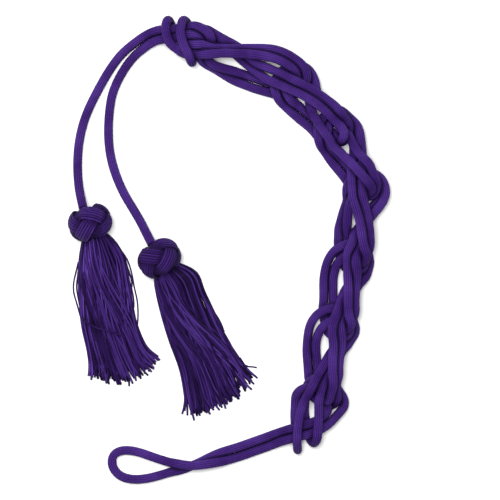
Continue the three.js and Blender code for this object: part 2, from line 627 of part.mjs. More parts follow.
function fringeSolid(tassel) {
  const outline = [];
  for (let i = 0; i <= 8; i += 1) outline.push(fringePoint(tassel, 0, i / 8));
  for (let i = 1; i < 8; i += 1) outline.push(fringePoint(tassel, i / 8, 1));
  for (let i = 8; i >= 0; i -= 1) outline.push(fringePoint(tassel, 1, i / 8));
  const shape = new THREE.Shape(outline.map(({ x, y }) => new THREE.Vector2(x, y)));
  const pieces = [solidOf(new THREE.ExtrudeGeometry(shape, { depth: backingThick, bevelEnabled: false }))];
  for (const locks of [lowerLocks, upperLocks]) {
    for (let i = 0; i < locks.count; i += 1) pieces.push(lock(tassel, i, locks));
  }
  const room = new THREE.SphereGeometry(knotWidth / 2 + fringeGap, 16, 12);
  room.scale(1, 1, knotHeight / knotWidth);
  room.translate(...knotMiddle(tassel).toArray());
  return onSurface(joined(pieces)).subtract(solidOf(room));
}

// The assembly
const cincture = new THREE.Group();

function addPiece(name, geometry, roughness) {
  const material = new THREE.MeshStandardMaterial({ color: violet, roughness, metalness: 0 });
  const mesh = new THREE.Mesh(geometry, material);
  mesh.name = name;
  cincture.add(mesh);
}

const halfGap = seatGap / 2 / lineStep;
for (const { name, from, to } of stretches()) {
  const rings = cordRings(from + halfGap, to - halfGap);
  addPiece(name, sweep(roundSection(packedDiameter / 2, cordSides), rings), 0.75);
}

for (const tassel of tassels) {
  const steps = socketDepth / lineStep;
  const end = cordLine.length - 1;
  const isLeft = tassel.name === 'left';
  const endRings = isLeft ? cordRings(-halfGap, steps) : cordRings(end - steps, end + halfGap);
  addPiece(`${tassel.name}_knot`, geometryOf(knotSolid(tassel, endRings)), 0.6);
  addPiece(`${tassel.name}_fringe`, geometryOf(fringeSolid(tassel)), 0.5);
}

const box = new THREE.Box3().setFromObject(cincture);
const middle = box.getCenter(new THREE.Vector3());
cincture.position.set(-middle.x, -middle.y, 0);

export default cincture;
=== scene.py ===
"""A violet rope cincture laid flat: a knitted cord, doubled and chained on itself, with two tassels.

Lengths are in metres in the row's frame. Those of the cord and the tassels are in millimetres here, as
they were chosen, and MM turns them into metres.
"""
import math

import bmesh
import bpy
import numpy as np
from mathutils import Matrix, Vector


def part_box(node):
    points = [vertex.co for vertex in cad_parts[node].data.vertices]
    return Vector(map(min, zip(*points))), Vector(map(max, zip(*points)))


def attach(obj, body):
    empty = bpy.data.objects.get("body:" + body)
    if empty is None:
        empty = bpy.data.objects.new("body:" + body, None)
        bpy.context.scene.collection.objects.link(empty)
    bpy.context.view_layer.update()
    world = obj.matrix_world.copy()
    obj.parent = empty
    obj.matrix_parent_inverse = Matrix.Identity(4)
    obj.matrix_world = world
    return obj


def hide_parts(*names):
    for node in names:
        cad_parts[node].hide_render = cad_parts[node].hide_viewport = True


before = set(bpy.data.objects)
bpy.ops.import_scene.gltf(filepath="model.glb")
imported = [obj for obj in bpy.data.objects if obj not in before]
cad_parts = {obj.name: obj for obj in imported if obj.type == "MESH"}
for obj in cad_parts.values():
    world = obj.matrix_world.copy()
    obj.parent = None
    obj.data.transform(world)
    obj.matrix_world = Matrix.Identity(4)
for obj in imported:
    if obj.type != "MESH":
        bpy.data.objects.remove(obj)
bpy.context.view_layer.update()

MM = 0.001

# Sizes of the cord
CORD = 8.0
LINE_STEP = 2.5  # between the points that settle
RING_STEP = 1.8  # between the rings of the finished cord
CURVE_POINTS = 12  # worked out from one chosen point to the next
ROUND_RADIUS = 3.9
PRESSED_RADIUS = 4.5  # towards a strand that it touches
SIDES = 36
WALES = 12  # columns of knit stitches round the cord
RIB = 0.24  # how far the columns stand out
STITCH = 2.2  # its length along the cord
WELD = 1e-7  # metres, between the two edges of a tube's seam

# The route of the left tassel's strand, from its knot to the fold in the middle of the cord. Each point
# is x, y and the height of the cord's middle in cord diameters: 0.5 lies on the surface, 1.5 lies on one
# strand and 2.5 on two. The strand is the inner one of each doubled link. In a link it first runs down
# over the pile, then round the tip and back up underneath, and then down the right side.
LEFT_STRAND = {
    "left_tail": [
        [-131.5, 36.8, 2], [-134.5, 48.5, 1.5], [-136.5, 58.5, 0.8], [-137.5, 72, 0.5], [-137, 90, 0.5],
        [-135, 103.5, 0.5], [-131.5, 117, 0.5], [-126, 130.5, 0.5], [-118, 146, 0.5], [-108.5, 162.5, 0.5],
        [-97.2, 177.3, 0.5], [-84.2, 188, 0.5], [-73.5, 195.2, 0.8], [-65, 198, 1.3], [-56.5, 199, 1.55],
        [-47.5, 199.5, 1.7], [-38, 200.5, 2.4], [-30.5, 200, 2.7],
    ],
    "left_band": [
        [-25, 198, 2.7], [-21.5, 193.5, 2.5], [-21, 188, 1.9], [-24.5, 184, 0.9], [-31.5, 185.5, 0.5],
        [-40.5, 187.5, 0.5], [-48.5, 191, 0.5], [-52.5, 197, 0.5], [-53, 203.5, 0.8], [-55, 204, 1.7],
        [-57.5, 202.5, 2.6], [-58, 197, 2.7], [-56.5, 190, 2.5], [-53, 184.5, 2], [-47, 180.5, 1.6],
        [-39.5, 178.5, 1.6], [-33.5, 178, 2.2],
    ],
    "inner_link_1": [
        [-27, 177.5, 2.8], [-13.5, 176.5, 2.9], [0, 176, 2.9], [14.5, 175.5, 3], [29, 174, 2.9],
        [43, 170.5, 2.8], [54, 164.5, 2.8], [60.5, 158.5, 2.4], [62, 153, 1.6],
        [58.5, 148.5, 0.7], [51.5, 147, 0.5], [43, 148.5, 0.5], [34, 151, 0.5], [29, 152.5, 0.5],
        [20, 155.8, 0.5], [9, 158.5, 0.6], [-2, 161.5, 1], [-12.5, 165, 1.4], [-20, 169.5, 1.6],
        [-23, 176.5, 1.55], [-23.5, 183.5, 1.55], [-21.5, 188.5, 1.4],
        [-15.5, 188, 1.2], [-8, 186, 1], [-1, 182, 1], [5.5, 176.5, 1.2], [11.5, 171, 1.3],
        [18, 165, 1.5], [24.5, 159.5, 1.9],
    ],
    "inner_link_2": [
        [31.5, 153.5, 2.5], [40.5, 149.5, 2.7], [49.5, 146, 2.8], [58.5, 142, 2.9], [67.5, 137, 3],
        [76.5, 132, 3.1], [85.5, 124.5, 3.1], [93.5, 116.5, 3], [101.5, 108.5, 2.8], [106, 101.5, 2.2],
        [103, 99.5, 1.2], [94.5, 103, 0.6], [86.5, 109.5, 0.5], [78.5, 115.5, 0.5], [73, 120, 0.5],
        [65.5, 126, 0.5], [58.5, 132, 0.8], [51.5, 137.5, 1.3], [47.5, 145, 1.55], [49.5, 152, 1.55],
        [56, 156.5, 1.55],
        [62, 156.5, 1.4], [67, 152, 1], [69, 146, 0.8], [69.5, 138.5, 0.8], [71, 130.5, 1],
        [74, 124, 1.3], [76.5, 119, 1.8],
    ],
    "inner_link_3": [
        [81, 110.5, 2.5], [87.5, 101.5, 2.8], [94.5, 92.5, 2.8], [102, 84, 2.9], [110, 76, 3],
        [117, 67.5, 3], [123.5, 59, 2.9], [128, 52, 2.3],
        [125, 49.5, 1.4], [118.5, 54.5, 0.8], [112.5, 63, 0.5], [107, 72, 0.5], [100, 81, 0.5],
        [93.5, 89, 0.8], [89, 96.5, 1.2], [86.5, 104.5, 1.55], [86.5, 111.5, 1.55], [90, 117, 1.55],
        [96.5, 116, 1.4], [102.5, 113.5, 1], [107, 108, 0.7], [110, 101, 0.6], [111.5, 92.5, 0.7],
        [111.5, 83.5, 1], [110, 75.5, 1.4],
    ],
    "inner_link_4": [
        [109, 65.5, 2], [110, 54, 2.6], [112, 40.5, 2.8], [115.5, 29, 3], [118.5, 18, 3], [119, 4.5, 2.9],
        [118.5, -6.5, 2.5], [116.5, -13.5, 1.8],
        [111.5, -13.5, 0.8], [107.5, -6.5, 0.5], [106, 2.5, 0.5], [105.5, 12.5, 0.8], [104.5, 23.5, 1.1],
        [105.5, 34, 1.2], [108, 45, 1.3], [111.5, 54, 1.55], [115, 60.5, 1.55], [121.5, 62.5, 1.55],
        [127, 60.5, 1.4], [131, 55, 1], [131.5, 47.5, 0.7], [129, 41.5, 0.7], [125.5, 34, 0.9],
        [121, 26, 1.3], [116, 18, 1.7],
    ],
    "inner_link_5": [
        [112, 10, 2.2], [109, 2, 2.6], [106.5, -7, 2.8], [106, -18, 2.8], [106, -31.5, 3], [106, -45, 3],
        [105.5, -58.5, 2.9], [104.5, -68.5, 2.5], [101, -74.5, 1.6],
        [97.5, -73, 0.7], [95, -65.5, 0.5], [93.5, -56.5, 0.5], [93.5, -47.5, 0.5], [93, -38.5, 0.5],
        [92.5, -29.5, 0.7], [93.5, -20, 1.1], [96.5, -11.5, 1.4], [101.5, -5.5, 1.55], [109, -2, 1.55],
        [115, -3.5, 1.55], [117.5, -9.5, 1.1], [117, -16, 0.8], [114, -23.5, 0.8], [109.5, -29.5, 1.1],
        [104.5, -37.5, 1.5], [101, -46, 1.8],
    ],
    "inner_link_6": [
        [97, -55, 2.4], [94.5, -65, 2.7], [93.5, -75.5, 2.8], [93, -86.5, 2.8], [92, -97, 2.9],
        [92, -108, 3], [91.5, -119.5, 2.9], [90.5, -129.5, 2.5], [88, -137, 1.8],
        [83, -134, 0.8], [80.5, -127, 0.5], [79, -119, 0.5], [79, -110.5, 0.5], [78.5, -102.5, 0.5],
        [77, -93.5, 0.7], [77, -84.5, 1.1], [79, -75.5, 1.4], [83.5, -68, 1.55], [90, -63, 1.55],
        [97, -61.5, 1.55],
        [102, -64.5, 1.4], [103, -70, 1], [101.5, -76.5, 0.8], [99, -83, 0.8], [95, -89, 1.2],
        [90.5, -96, 1.6], [86, -104.5, 1.9],
    ],
    "inner_link_7": [
        [80, -112.5, 2.4], [74, -120.5, 2.7], [68.5, -129.5, 2.7], [65, -139.5, 2.7], [62, -148.5, 2.8],
        [61, -158.5, 2.8], [60, -169, 2.7], [60.5, -177.5, 2.1],
        [61, -180.5, 1], [60.5, -174.5, 0.5], [59, -165.5, 0.5], [58.5, -155.5, 0.5], [58, -146.5, 0.5],
        [59, -137, 0.6], [62, -127.5, 1], [68.5, -120.5, 1.55], [75.5, -121.5, 1.55], [82, -122.5, 1.55],
        [87, -126, 1.55], [90, -132, 1.55], [91.5, -138.5, 1.55], [88.5, -145.5, 1.55],
        [83.5, -151, 1.55], [76.5, -154.5, 1.55], [66.5, -157.5, 1.55],
    ],
    "lower_run": [
        [56.5, -160.5, 1.4], [46, -164.5, 0.9], [33.5, -169, 0.5], [20.5, -173, 0.5], [7, -178, 0.5],
        [-4.5, -182, 0.5], [-17, -187, 0.5], [-28, -192, 0.5], [-38.5, -196, 0.5], [-49.5, -199, 0.5],
        [-63, -203, 0.5], [-74.5, -206, 0.5], [-87.5, -207, 0.5], [-98, -204.5, 0.5], [-105, -198, 0.5],
        [-107, -190, 0.5], [-104.5, -183.5, 0.5],
    ],
}

# The same for the right tassel's strand, the outer one of each link. Both meet at the fold.
RIGHT_STRAND = {
    "right_tail": [
        [-69.8, 4.7, 2], [-75.5, 15.5, 1.5], [-80, 24.5, 0.8], [-88, 38, 0.5], [-95.5, 50.5, 0.5],
        [-103, 67.5, 0.5], [-108, 85.5, 0.5], [-109.5, 99, 0.5], [-109.5, 116, 0.5], [-106, 141.5, 0.5],
        [-97.5, 159.6, 0.5], [-88.3, 172.8, 0.5], [-78, 181.8, 0.7], [-68.5, 188, 1.2], [-57.5, 191, 1.55],
        [-47.5, 191, 1.7], [-38, 192, 2.3], [-30.5, 191.5, 2.5],
    ],
    "right_band": [
        [-26, 189.5, 2.1], [-25, 190, 1.3], [-28, 191, 0.6], [-32.5, 194.5, 0.5], [-36, 200, 0.5],
        [-37.5, 201.5, 0.8], [-40.5, 203, 1.7], [-43.5, 201, 2.7], [-44.5, 194.5, 3.1], [-43, 186.5, 3.1],
        [-39.5, 179, 3], [-34, 175, 2.5], [-31, 172.5, 1.6], [-34, 173, 0.7], [-38.5, 177.5, 0.5],
        [-38.5, 182.5, 0.9], [-35, 186, 1.7],
    ],
    "outer_link_1": [
        [-28, 183.5, 2.5], [-20, 181.5, 2.4], [0, 180.5, 2.3], [14.5, 180.5, 2.4], [29, 181, 2.4],
        [40.5, 180, 2.5], [52, 175.5, 2.6], [61, 169, 2.6], [66.5, 162, 2.4], [68.5, 155, 1.7],
        [65.5, 147.5, 0.7], [59.5, 142, 0.5], [50.5, 140, 0.5], [42.5, 140.2, 0.5], [36, 141.5, 0.5],
        [29.5, 143.4, 0.5], [20, 146, 0.5], [11, 150.4, 0.5], [1, 155, 0.5], [-7, 160, 0.5],
        [-15.5, 164.5, 0.5], [-22, 169.5, 0.8], [-27.5, 175.5, 1.4], [-29.5, 182, 1.55],
        [-30.5, 187.5, 1.55], [-27.5, 192, 1.55],
        [-21.5, 193.5, 1.55], [-15.5, 192.5, 1.5], [-9, 190.5, 1.4], [-2, 187, 1.3], [7, 183, 1.5],
        [13.5, 177.5, 1.6], [18, 172, 1.6], [23.5, 168, 2.1],
    ],
    "outer_link_2": [
        [29.5, 165, 2.5], [40.5, 160.5, 2.5], [54, 154.5, 2.6], [63, 149.5, 2.6], [74, 143.5, 2.6],
        [83, 137.5, 2.7], [92, 130.5, 2.7], [100, 121.5, 2.6], [105, 113, 2.4], [107, 106, 1.9],
        [105.5, 100, 0.9], [100.5, 96.5, 0.5], [94.5, 97.5, 0.5], [86.5, 101, 0.5], [79, 106, 0.5],
        [73, 110.5, 0.5], [65.5, 116.5, 0.5], [58.5, 122.5, 0.5], [51.5, 128, 0.7], [44, 136, 1.2],
        [39.5, 144, 1.55], [39, 151, 1.55], [43, 157.5, 1.55], [50.5, 162.5, 1.55], [58.5, 166.5, 1.55],
        [65.5, 166.5, 1.55], [72, 162, 1.5], [75.5, 154, 1.4], [77, 146, 1.5], [78.5, 138.5, 1.65],
        [82, 130.5, 1.6],
    ],
    "outer_link_3": [
        [88, 124, 1.5], [94.5, 118, 1.5], [101, 110, 1.6], [106, 101.5, 1.9], [110, 93.5, 2.3],
        [117, 84.5, 2.6], [123.5, 76.5, 2.6], [128.5, 68.5, 2.6], [132, 61, 2.4], [132, 54.5, 1.7],
        [128, 49, 0.8], [122.5, 50, 0.5], [117, 54, 0.5], [111.5, 59.5, 0.5], [106, 65, 0.5],
        [101, 70, 0.5], [94.5, 77, 0.5], [89, 84, 0.5], [84, 92, 0.7], [80.5, 99, 1.2], [79, 107, 1.55],
        [79.5, 115, 1.55], [83.5, 121, 1.55], [90, 124.5, 1.55],
        [97, 124, 1.55], [103.5, 122.5, 1.5], [109, 118, 1.4], [113.5, 110.5, 1.4], [117, 101.5, 1.3],
        [119, 92.5, 1.4], [119.5, 83.5, 1.6], [118.5, 75.5, 1.6],
    ],
    "outer_link_4": [
        [117.5, 66.5, 1.6], [119, 58.5, 1.9], [119.5, 49.5, 2.3], [121, 39.5, 2.5], [123.5, 29, 2.6],
        [124.5, 18, 2.6], [124.5, 6.5, 2.5], [123, -4.5, 2.3], [119.5, -13.5, 1.7],
        [115.5, -19, 0.8], [110, -17, 0.5], [104.5, -11, 0.5], [101, -2.5, 0.5], [99, 6.5, 0.5],
        [99.5, 16, 0.5], [101, 29, 0.5], [104, 39.5, 0.7], [107.5, 48.5, 1.2], [107.5, 57.5, 1.55],
        [109, 65, 1.55], [115, 69.5, 1.55], [123.5, 70, 1.55],
        [131.5, 68.5, 1.55], [137, 64, 1.5], [140, 56.5, 1.4], [139.5, 49.5, 1.3], [137, 43, 1.3],
        [132.5, 37, 1.4], [127, 30.5, 1.6], [121.5, 22.5, 1.65], [118, 12.5, 1.6],
    ],
    "outer_link_5": [
        [116, 2, 1.6], [115, -9, 1.9], [114, -20.5, 2.4], [113, -29.5, 2.6], [112, -40.5, 2.6],
        [111, -50.5, 2.6], [109.5, -60.5, 2.5], [107.5, -69.5, 2.2], [105, -76.5, 1.6],
        [99, -78, 0.7], [92.5, -73.5, 0.5], [88, -66.5, 0.5], [85, -59.5, 0.5], [84, -52, 0.5],
        [84.5, -46, 0.5], [84.5, -38, 0.5], [84.5, -27, 0.6], [86, -15.5, 1], [89, -6.5, 1.4],
        [94.5, 0.5, 1.55], [101.5, 5, 1.55], [110, 7, 1.55], [118, 4.5, 1.55],
        [123.5, -1, 1.55], [125.5, -7, 1.5], [125, -14.5, 1.4], [121.5, -21.5, 1.4], [117, -28, 1.5],
        [112.5, -34, 1.6], [107.5, -42.5, 1.6],
    ],
    "outer_link_6": [
        [103.5, -51.5, 1.6], [101.5, -60.5, 1.6], [101, -70, 1.8], [101, -79, 2.2], [99.5, -90, 2.5],
        [97.5, -99, 2.6], [96.5, -108, 2.6], [95, -119, 2.6], [93.5, -131.5, 2.3], [91.5, -138.5, 1.7],
        [87.5, -142, 0.8], [82, -137, 0.5], [76.5, -128.5, 0.5], [73, -120.5, 0.5], [71, -112.5, 0.5],
        [70.5, -105.5, 0.5], [70, -97, 0.5], [69.5, -88, 0.6], [70, -79, 0.9], [71, -70, 1.3],
        [74.5, -62, 1.55], [80, -56, 1.55], [88, -52, 1.55], [97, -52, 1.55], [105.5, -55, 1.55],
        [110, -60.5, 1.55], [111, -66.5, 1.5], [110, -74, 1.4], [106, -80.5, 1.4], [102, -87, 1.6],
        [97, -94.5, 1.6], [92, -103.5, 1.6],
    ],
    "outer_link_7": [
        [87.5, -111.5, 1.7], [83.5, -119.5, 2.2], [81.5, -128.5, 2.5], [80, -139.5, 2.6],
        [79.5, -150.5, 2.6], [79, -160, 2.7], [78.5, -167.5, 2.5], [76.5, -173, 1.7],
        [74, -173.5, 0.7], [71, -168.5, 0.5], [69.5, -160, 0.5], [67.5, -151, 0.5], [67, -140.5, 0.5],
        [68.5, -129.5, 0.8], [71, -120.5, 1.2], [75.5, -114.5, 1.55], [83, -111.5, 1.55],
        [90, -115, 1.55],
        [95.5, -122.5, 1.55], [99, -130.5, 1.55], [100, -138.5, 1.55], [97.5, -146, 1.55],
        [92.5, -153, 1.55], [85.5, -159, 1.55], [76.5, -163.5, 1.55],
    ],
    "upper_run": [
        [65.5, -166.5, 1.55], [56, -168.5, 1.4], [45, -172, 0.9], [33.5, -177, 0.5], [20.5, -182, 0.5],
        [7.5, -186.5, 0.5], [-7, -189.5, 0.7], [-21.5, -192, 1.2], [-32.5, -194, 1.55],
        [-43, -193.5, 1.3], [-56, -191, 0.8], [-70, -186.5, 0.5], [-81, -182.5, 0.5], [-90, -180.5, 0.5],
        [-98, -180.5, 0.5],
    ],
}

# How the cord settles on itself
SETTLING = {
    "rounds": 200,
    "late_from": 0.75,  # share of the rounds after which strands sink and aren't pulled home
    "pairs_every": 8,  # rounds between two searches for strands near each other
    "pairs_reach": 1.6,  # how near that is, in clearances
    "clearance": CORD * 1.075,  # between the middles of two strands that touch
    "home": 0.06,  # pull towards the chosen place in plan
    "home_height": 0.012,  # the same for height
    "stiffness": 0.15,
    "late_stiffness": 0.045,
    "fall": 0.04,  # drop in each of the late rounds
    "length_repeats": 2,
    "length_share": 0.35,  # of a wrong length that is put right in one go
    "push_repeats": 3,
    "push_gain": 1.2,
    "aside": 0.75,  # share of a push that moves strands sideways
    "upwards": 1.35,  # and up or down
}

# How strands that touch press each other
OWN_REACH = 11.0  # along the cord, within which it isn't compared with itself
TOUCH_MARGIN = 1.5  # strands further apart than this past touching don't count
OPEN = 50.0  # stands for the room on a side with nothing near
HALF_GAP = 0.05  # between a strand and the plane midway to its neighbour
LEAST_FACING = 0.12  # corners that face the neighbour less are free of it
BULGE_FACING = 0.5  # corners that face it more than this bulge towards it
BULGE_BLEND = 0.3
BULGE_APART = 9.1  # between the middles of strands that begin to bulge
BULGE_FADE = 0.4
BULGE_ROUNDS = 12  # of smoothing along the cord
FLOOR_GAP = 0.02
LEAST_DOWN = 0.05  # corners that face down less are free of the surface
LEAST_BEND = 0.02  # flatter bends leave the inner side free
BEND_FILL = 0.92  # share of a bend's radius that the cord may fill
BLEND_POWER = 12  # how sharply the round side turns into the pressed one
# Painted shade on the cord, darker where another strand is near and on sides that face down
CREASE_REACH = 3.4  # room past the cord's side within which painted shade falls on it
UNDER_SHADE = 0.6  # painted shade on sides that face down
UNDER_FROM = 0.3

# Sizes of each tassel's knot
KNOT_WIDTH = 41.0
KNOT_HEIGHT = 37.0
KNOT_FLAT = 1.2  # how far its underside is pressed flat
KNOT_TURNS = 3  # of its path round the ball
KNOT_BIGHTS = 4  # bends of the path at each end of the ball
KNOT_TILT = 0.68  # radians from the ball's middle to a bend
KNOT_PASSES = 6  # thin cords side by side
KNOT_PITCH = 2.65  # between their middles
KNOT_THREAD = 1.25  # radius of a thin cord
KNOT_LIFT = 2.4  # from the lower band to the upper one where they cross
KNOT_CROWN = 0.6  # how much lower a band's edges lie than its middle
KNOT_STEEP = 2.6  # how fast the path changes from over to under
KNOT_POINTS = 500  # along a whole path
CORE_SEGMENTS = 32  # of the ball inside the bands
CORE_RINGS = 20

# Sizes of each tassel's fringe
FRINGE_HIGH = 14.0  # next to the knot
FRINGE_END = 5.0  # at the string ends
FRINGE_FALL = 0.6  # power by which its height falls along it
FRINGE_ROUND = 0.8  # how much lower it lies at its sides
FRINGE_LEAST = 0.05  # the least square of its height there, as a share
GATHER_SHARE = 0.5  # width at the knot, as a share of the width between the edges
GATHER_LENGTH = 0.07  # share of a string in which it spreads to its place
OVERHANG = 0.01  # share of the width by which strings may pass the edges
STRING = 0.92  # radius of a string
STRAY = 0.75  # radius of a loose one
STRING_POINTS = 38
STRAY_STEP = 4.0  # between points of a loose string
EDGE_STEP = 1.0  # and of an edge
BED = 60  # even strings under the locks
LOCKS = 34
STRINGS_PER_LOCK = 3
LOCK_HALF = 2.2  # half its width
LOCK_HIGH = 3.4
LOCK_START = 0.8  # share of its width that it has at the knot. It has one more at the ends.

# How strings differ. Pairs are the ends of even draws. SWAY, HOOK, the LENGTHS, LOCK_DRIFT and
# LOCK_SPLAY are spreads of normal ones.
PHASES = (0, 6)
CURLS = (0.2, 0.8)
CURL_WAVES = (5, 14)
SWAY = 0.5
SWAY_WAVES = (4, 12)
HOOK = 2.0
HOOK_FROM = 0.875  # share of a string's length from which its end hooks
RIPPLE = 0.35  # height of a string's own waves
RIPPLE_WAVES = (8, 15)
LENGTHS = 0.018
LOCK_LENGTHS = 0.012
BED_LEVELS = (0, 0.3)
LOCK_PLACES = (0.1, 0.9)
LOCK_DRIFT = 0.03
SWEEP_AFTER = 0.2  # share of the width past which locks may sweep across
SWEEP_EVERY = 3  # one lock in three never sweeps
SWEEP_LEAST = 0.03  # where one starts at the least
SWEEPS = (0.25, 0.6)
SWEEP_STARTS = (0.05, 0.3)
SWEEP_LENGTHS = (0.5, 0.7)
SWEEP_LEVELS = (0.55, 1.0)
LOCK_LEVELS = (0.2, 0.75)
LOCK_SPLAY = 1.2
LOCK_FILL = (0.4, 1.0)
FRINGE_SEED = 20  # added to a tassel's own

# Tones run from 0, deep in a crease, to 1 in full light, and so paint shade and light into the strings'
# colour on top of each string's own tone. Higher ones outlast some shade.
TONE_LEAST = 0.15
TONE_MOST = 1.3
# The bed's low tone is painted shade on strings that lie under the locks
BED_TONE = 0.3
BED_TONE_SPREAD = 0.12
LOCK_TONES = (0.3, 1.35)
STRAY_TONE = 0.75
KNOT_TONE = 0.42
KNOT_LIGHT_OVER = 0.5  # painted light, added where a band lies on top
KNOT_SHADE_CROWN = 0.3  # painted shade, taken off at a band's edges
KNOT_TONE_SPREAD = 0.06
SIDE_SHADE = 0.95  # painted shade: how much of its tone a string's side loses
# Painted shade on strings that lie deep in a heap
HEAP_CELL = 1.6  # of the grid in which a heap's top is found
HEAP_DEEP = 1.9  # below the top, where no light is left

# The two tassels: the knot's middle, the way its axis points, where its path starts, the fringe's two
# edges, how far its strings' ends hang down in the middle, and its loose strings with their heights
TASSELS = {
    "left": {
        "knot": (-125.2, 24.2),
        "axis": (11.7, -33.3),
        "phase": math.radians(-25),
        "left_edge": [
            (-132.5, 12), (-135.5, -10.8), (-136, -31.5), (-134, -61), (-128.7, -87.3), (-125, -112),
        ],
        "right_edge": [
            (-109, 15), (-96, -6.3), (-91.4, -28.8), (-87, -59.4), (-78.3, -83.7), (-66.5, -99),
        ],
        "belly": 11.0,
        "strays": [
            [
                (-136.8, -10.8, 3), (-139.1, -19.8, 1.2), (-141.3, -29.7, 0.7), (-141.3, -37.8, 0.7),
                (-138.6, -47.7, 0.7), (-135, -60.3, 1), (-132.3, -68.4, 2),
            ],
            [
                (-135.9, -12.6, 3), (-137.2, -21.6, 1.5), (-138.6, -33.3, 0.7), (-136.8, -45, 0.7),
                (-134.1, -57.6, 1), (-131.4, -72, 3),
            ],
            [
                (-135, -59.4, 2), (-129.6, -64.8, 6), (-119.7, -70.2, 7.8), (-106.2, -73.8, 7.8),
                (-93.6, -79.2, 5),
            ],
            [
                (-97.2, -1.8, 4), (-92.7, -9, 1.5), (-89.1, -19.8, 0.7), (-86.4, -34.2, 0.7),
                (-83.7, -46.8, 0.7), (-83.2, -61.2, 0.7), (-84.6, -74.7, 1),
            ],
            [
                (-98.1, -3.6, 4), (-94.5, -12.6, 1.5), (-91.8, -25.2, 0.7), (-88.2, -37.8, 0.7),
                (-86.9, -50.4, 0.7), (-89.1, -61.2, 0.8), (-89.1, -70.2, 1),
            ],
            [(-96.3, -7.2, 3), (-91.8, -18, 1), (-88.7, -28.8, 0.7), (-90, -41.4, 0.8), (-91.8, -52.2, 2)],
        ],
        "seed": 3,
    },
    "right": {
        "knot": (-63.4, -7.2),
        "axis": (19.8, -30.6),
        "phase": math.radians(19),
        "left_edge": [
            (-69, -21.6), (-65.7, -39.6), (-61.2, -58.5), (-54, -81.9), (-45, -107), (-38, -147),
        ],
        "right_edge": [
            (-48.6, -10.8), (-30.5, -20.7), (-23.8, -36.9), (-14.4, -58.5), (-2, -82.8), (20, -115.5),
        ],
        "belly": 7.0,
        "strays": [
            [
                (9, -97.2, 3), (11.7, -101.7, 1.5), (14.4, -104.9, 0.8), (18.9, -105.3, 0.7),
                (24.3, -106.2, 0.7),
            ],
            [(-24.3, -45, 3), (-18, -52.2, 1.5), (-12.6, -58.5, 0.8), (-8.1, -66.6, 0.8), (-5.4, -73.8, 1.5)],
            [(-7.2, -72, 2), (-1.8, -81, 1), (3.6, -90.9, 0.8), (9, -99, 1), (13.5, -106.2, 1.5)],
            [
                (-63, -45, 2), (-58.5, -58.5, 1), (-53.1, -76.5, 0.8), (-47.7, -91.8, 0.8),
                (-43.2, -108, 0.8), (-40.5, -126, 0.8), (-38.7, -144, 0.7),
            ],
        ],
        "seed": 8,
    },
}

# Colours: painted shade in creases and grooves, the yarn's own, and where it is worn or in painted light
DEEP = (0.007, 0.002, 0.024)
VIOLET = (0.044, 0.012, 0.15)
LIGHT = (0.1, 0.04, 0.305)

# The look of the knit
KNIT_SPECULAR = 0.08
KNIT_ROUGH = 0.5
KNIT_BUMP = 0.0006
LOOP_TONE = 0.42  # painted shade between two threads, where the threads themselves have 1
SPINE_THIN = 5  # how thin the line down the middle of a column is
# Painted shade along the middle line of a column
SPINE_SHADE = 0.3
LOOP_GAIN = 1.05
KNIT_FUZZ = 0.2
ROUGH_FUZZ = 0.3
BUMP_FUZZ = 0.15
# Strength of the painted shade where strands touch and underneath
CREASE_SHADE = 0.96
FUZZ_SCALE = 1800.0
WEAR_SCALE = 45.0
WEAR_FROM = 0.35  # noise above this lightens the loops
WEAR_GAIN = 2
KNIT_DETAIL = 3.0

# The look of the thin cords and strings
PLIES = 2
PLY_SHARE = 0.2
YARN_FUZZ = 0.2
YARN_FUZZ_SCALE = 1500.0
YARN_BUMP = 0.00025
TONE_GAIN = 1.5
TONE_OFFSET = 0.3
LIGHT_GAIN = 2
LIGHT_OFFSET = 1.1

# The sockets of a node that mixes colours: its share and its two colours, and what it gives
MIX_INPUTS = (0, 6, 7)
MIX_OUTPUT = 2

# The stage. The photograph looks straight down, with its middle at this point of the cord's plan.
LENS = 180
SENSOR = 36
PHOTO_MIDDLE = (18.0, 0.0)
VIEW_WIDTH = 450.0
FLOOR_SIZE = 4  # metres
PAPER = (0.9, 0.9, 0.9, 1)
PAPER_ROUGH = 0.9
SKY = (1, 1, 1, 1)
SKY_STRENGTH = 0.18
LIGHTS = {  # place and size in metres, and power
    "overhead": ((-0.1, 0.15, 1.9), 0.8, 44.0),
    "key": ((-0.8, 0.9, 1.5), 0.6, 14.0),
}


# Shader maths
class Value:
    """A socket that takes part in sums, so that shader maths reads as plain expressions."""

    def __init__(self, paint, socket):
        self.paint = paint
        self.socket = socket

    def maths(self, operation, *values):
        return self.paint.node("ShaderNodeMath", {"operation": operation}, *values)

    def __add__(self, other):
        return self.maths("ADD", self, other)

    __radd__ = __add__

    def __sub__(self, other):
        return self.maths("SUBTRACT", self, other)

    def __rsub__(self, other):
        return self.maths("SUBTRACT", other, self)

    def __mul__(self, other):
        return self.maths("MULTIPLY", self, other)

    __rmul__ = __mul__

    def __truediv__(self, other):
        return self.maths("DIVIDE", self, other)

    def __pow__(self, other):
        return self.maths("POWER", self, other)

    def __abs__(self):
        return self.maths("ABSOLUTE", self)

    def fraction(self):
        return self.maths("FRACT", self)

    def least(self, other):
        return self.maths("MINIMUM", self, other)

    def most(self, other):
        return self.maths("MAXIMUM", self, other)

    def part(self, name):
        """One of X, Y and Z of a vector."""
        return self.paint.node("ShaderNodeSeparateXYZ", {"output": name}, self)


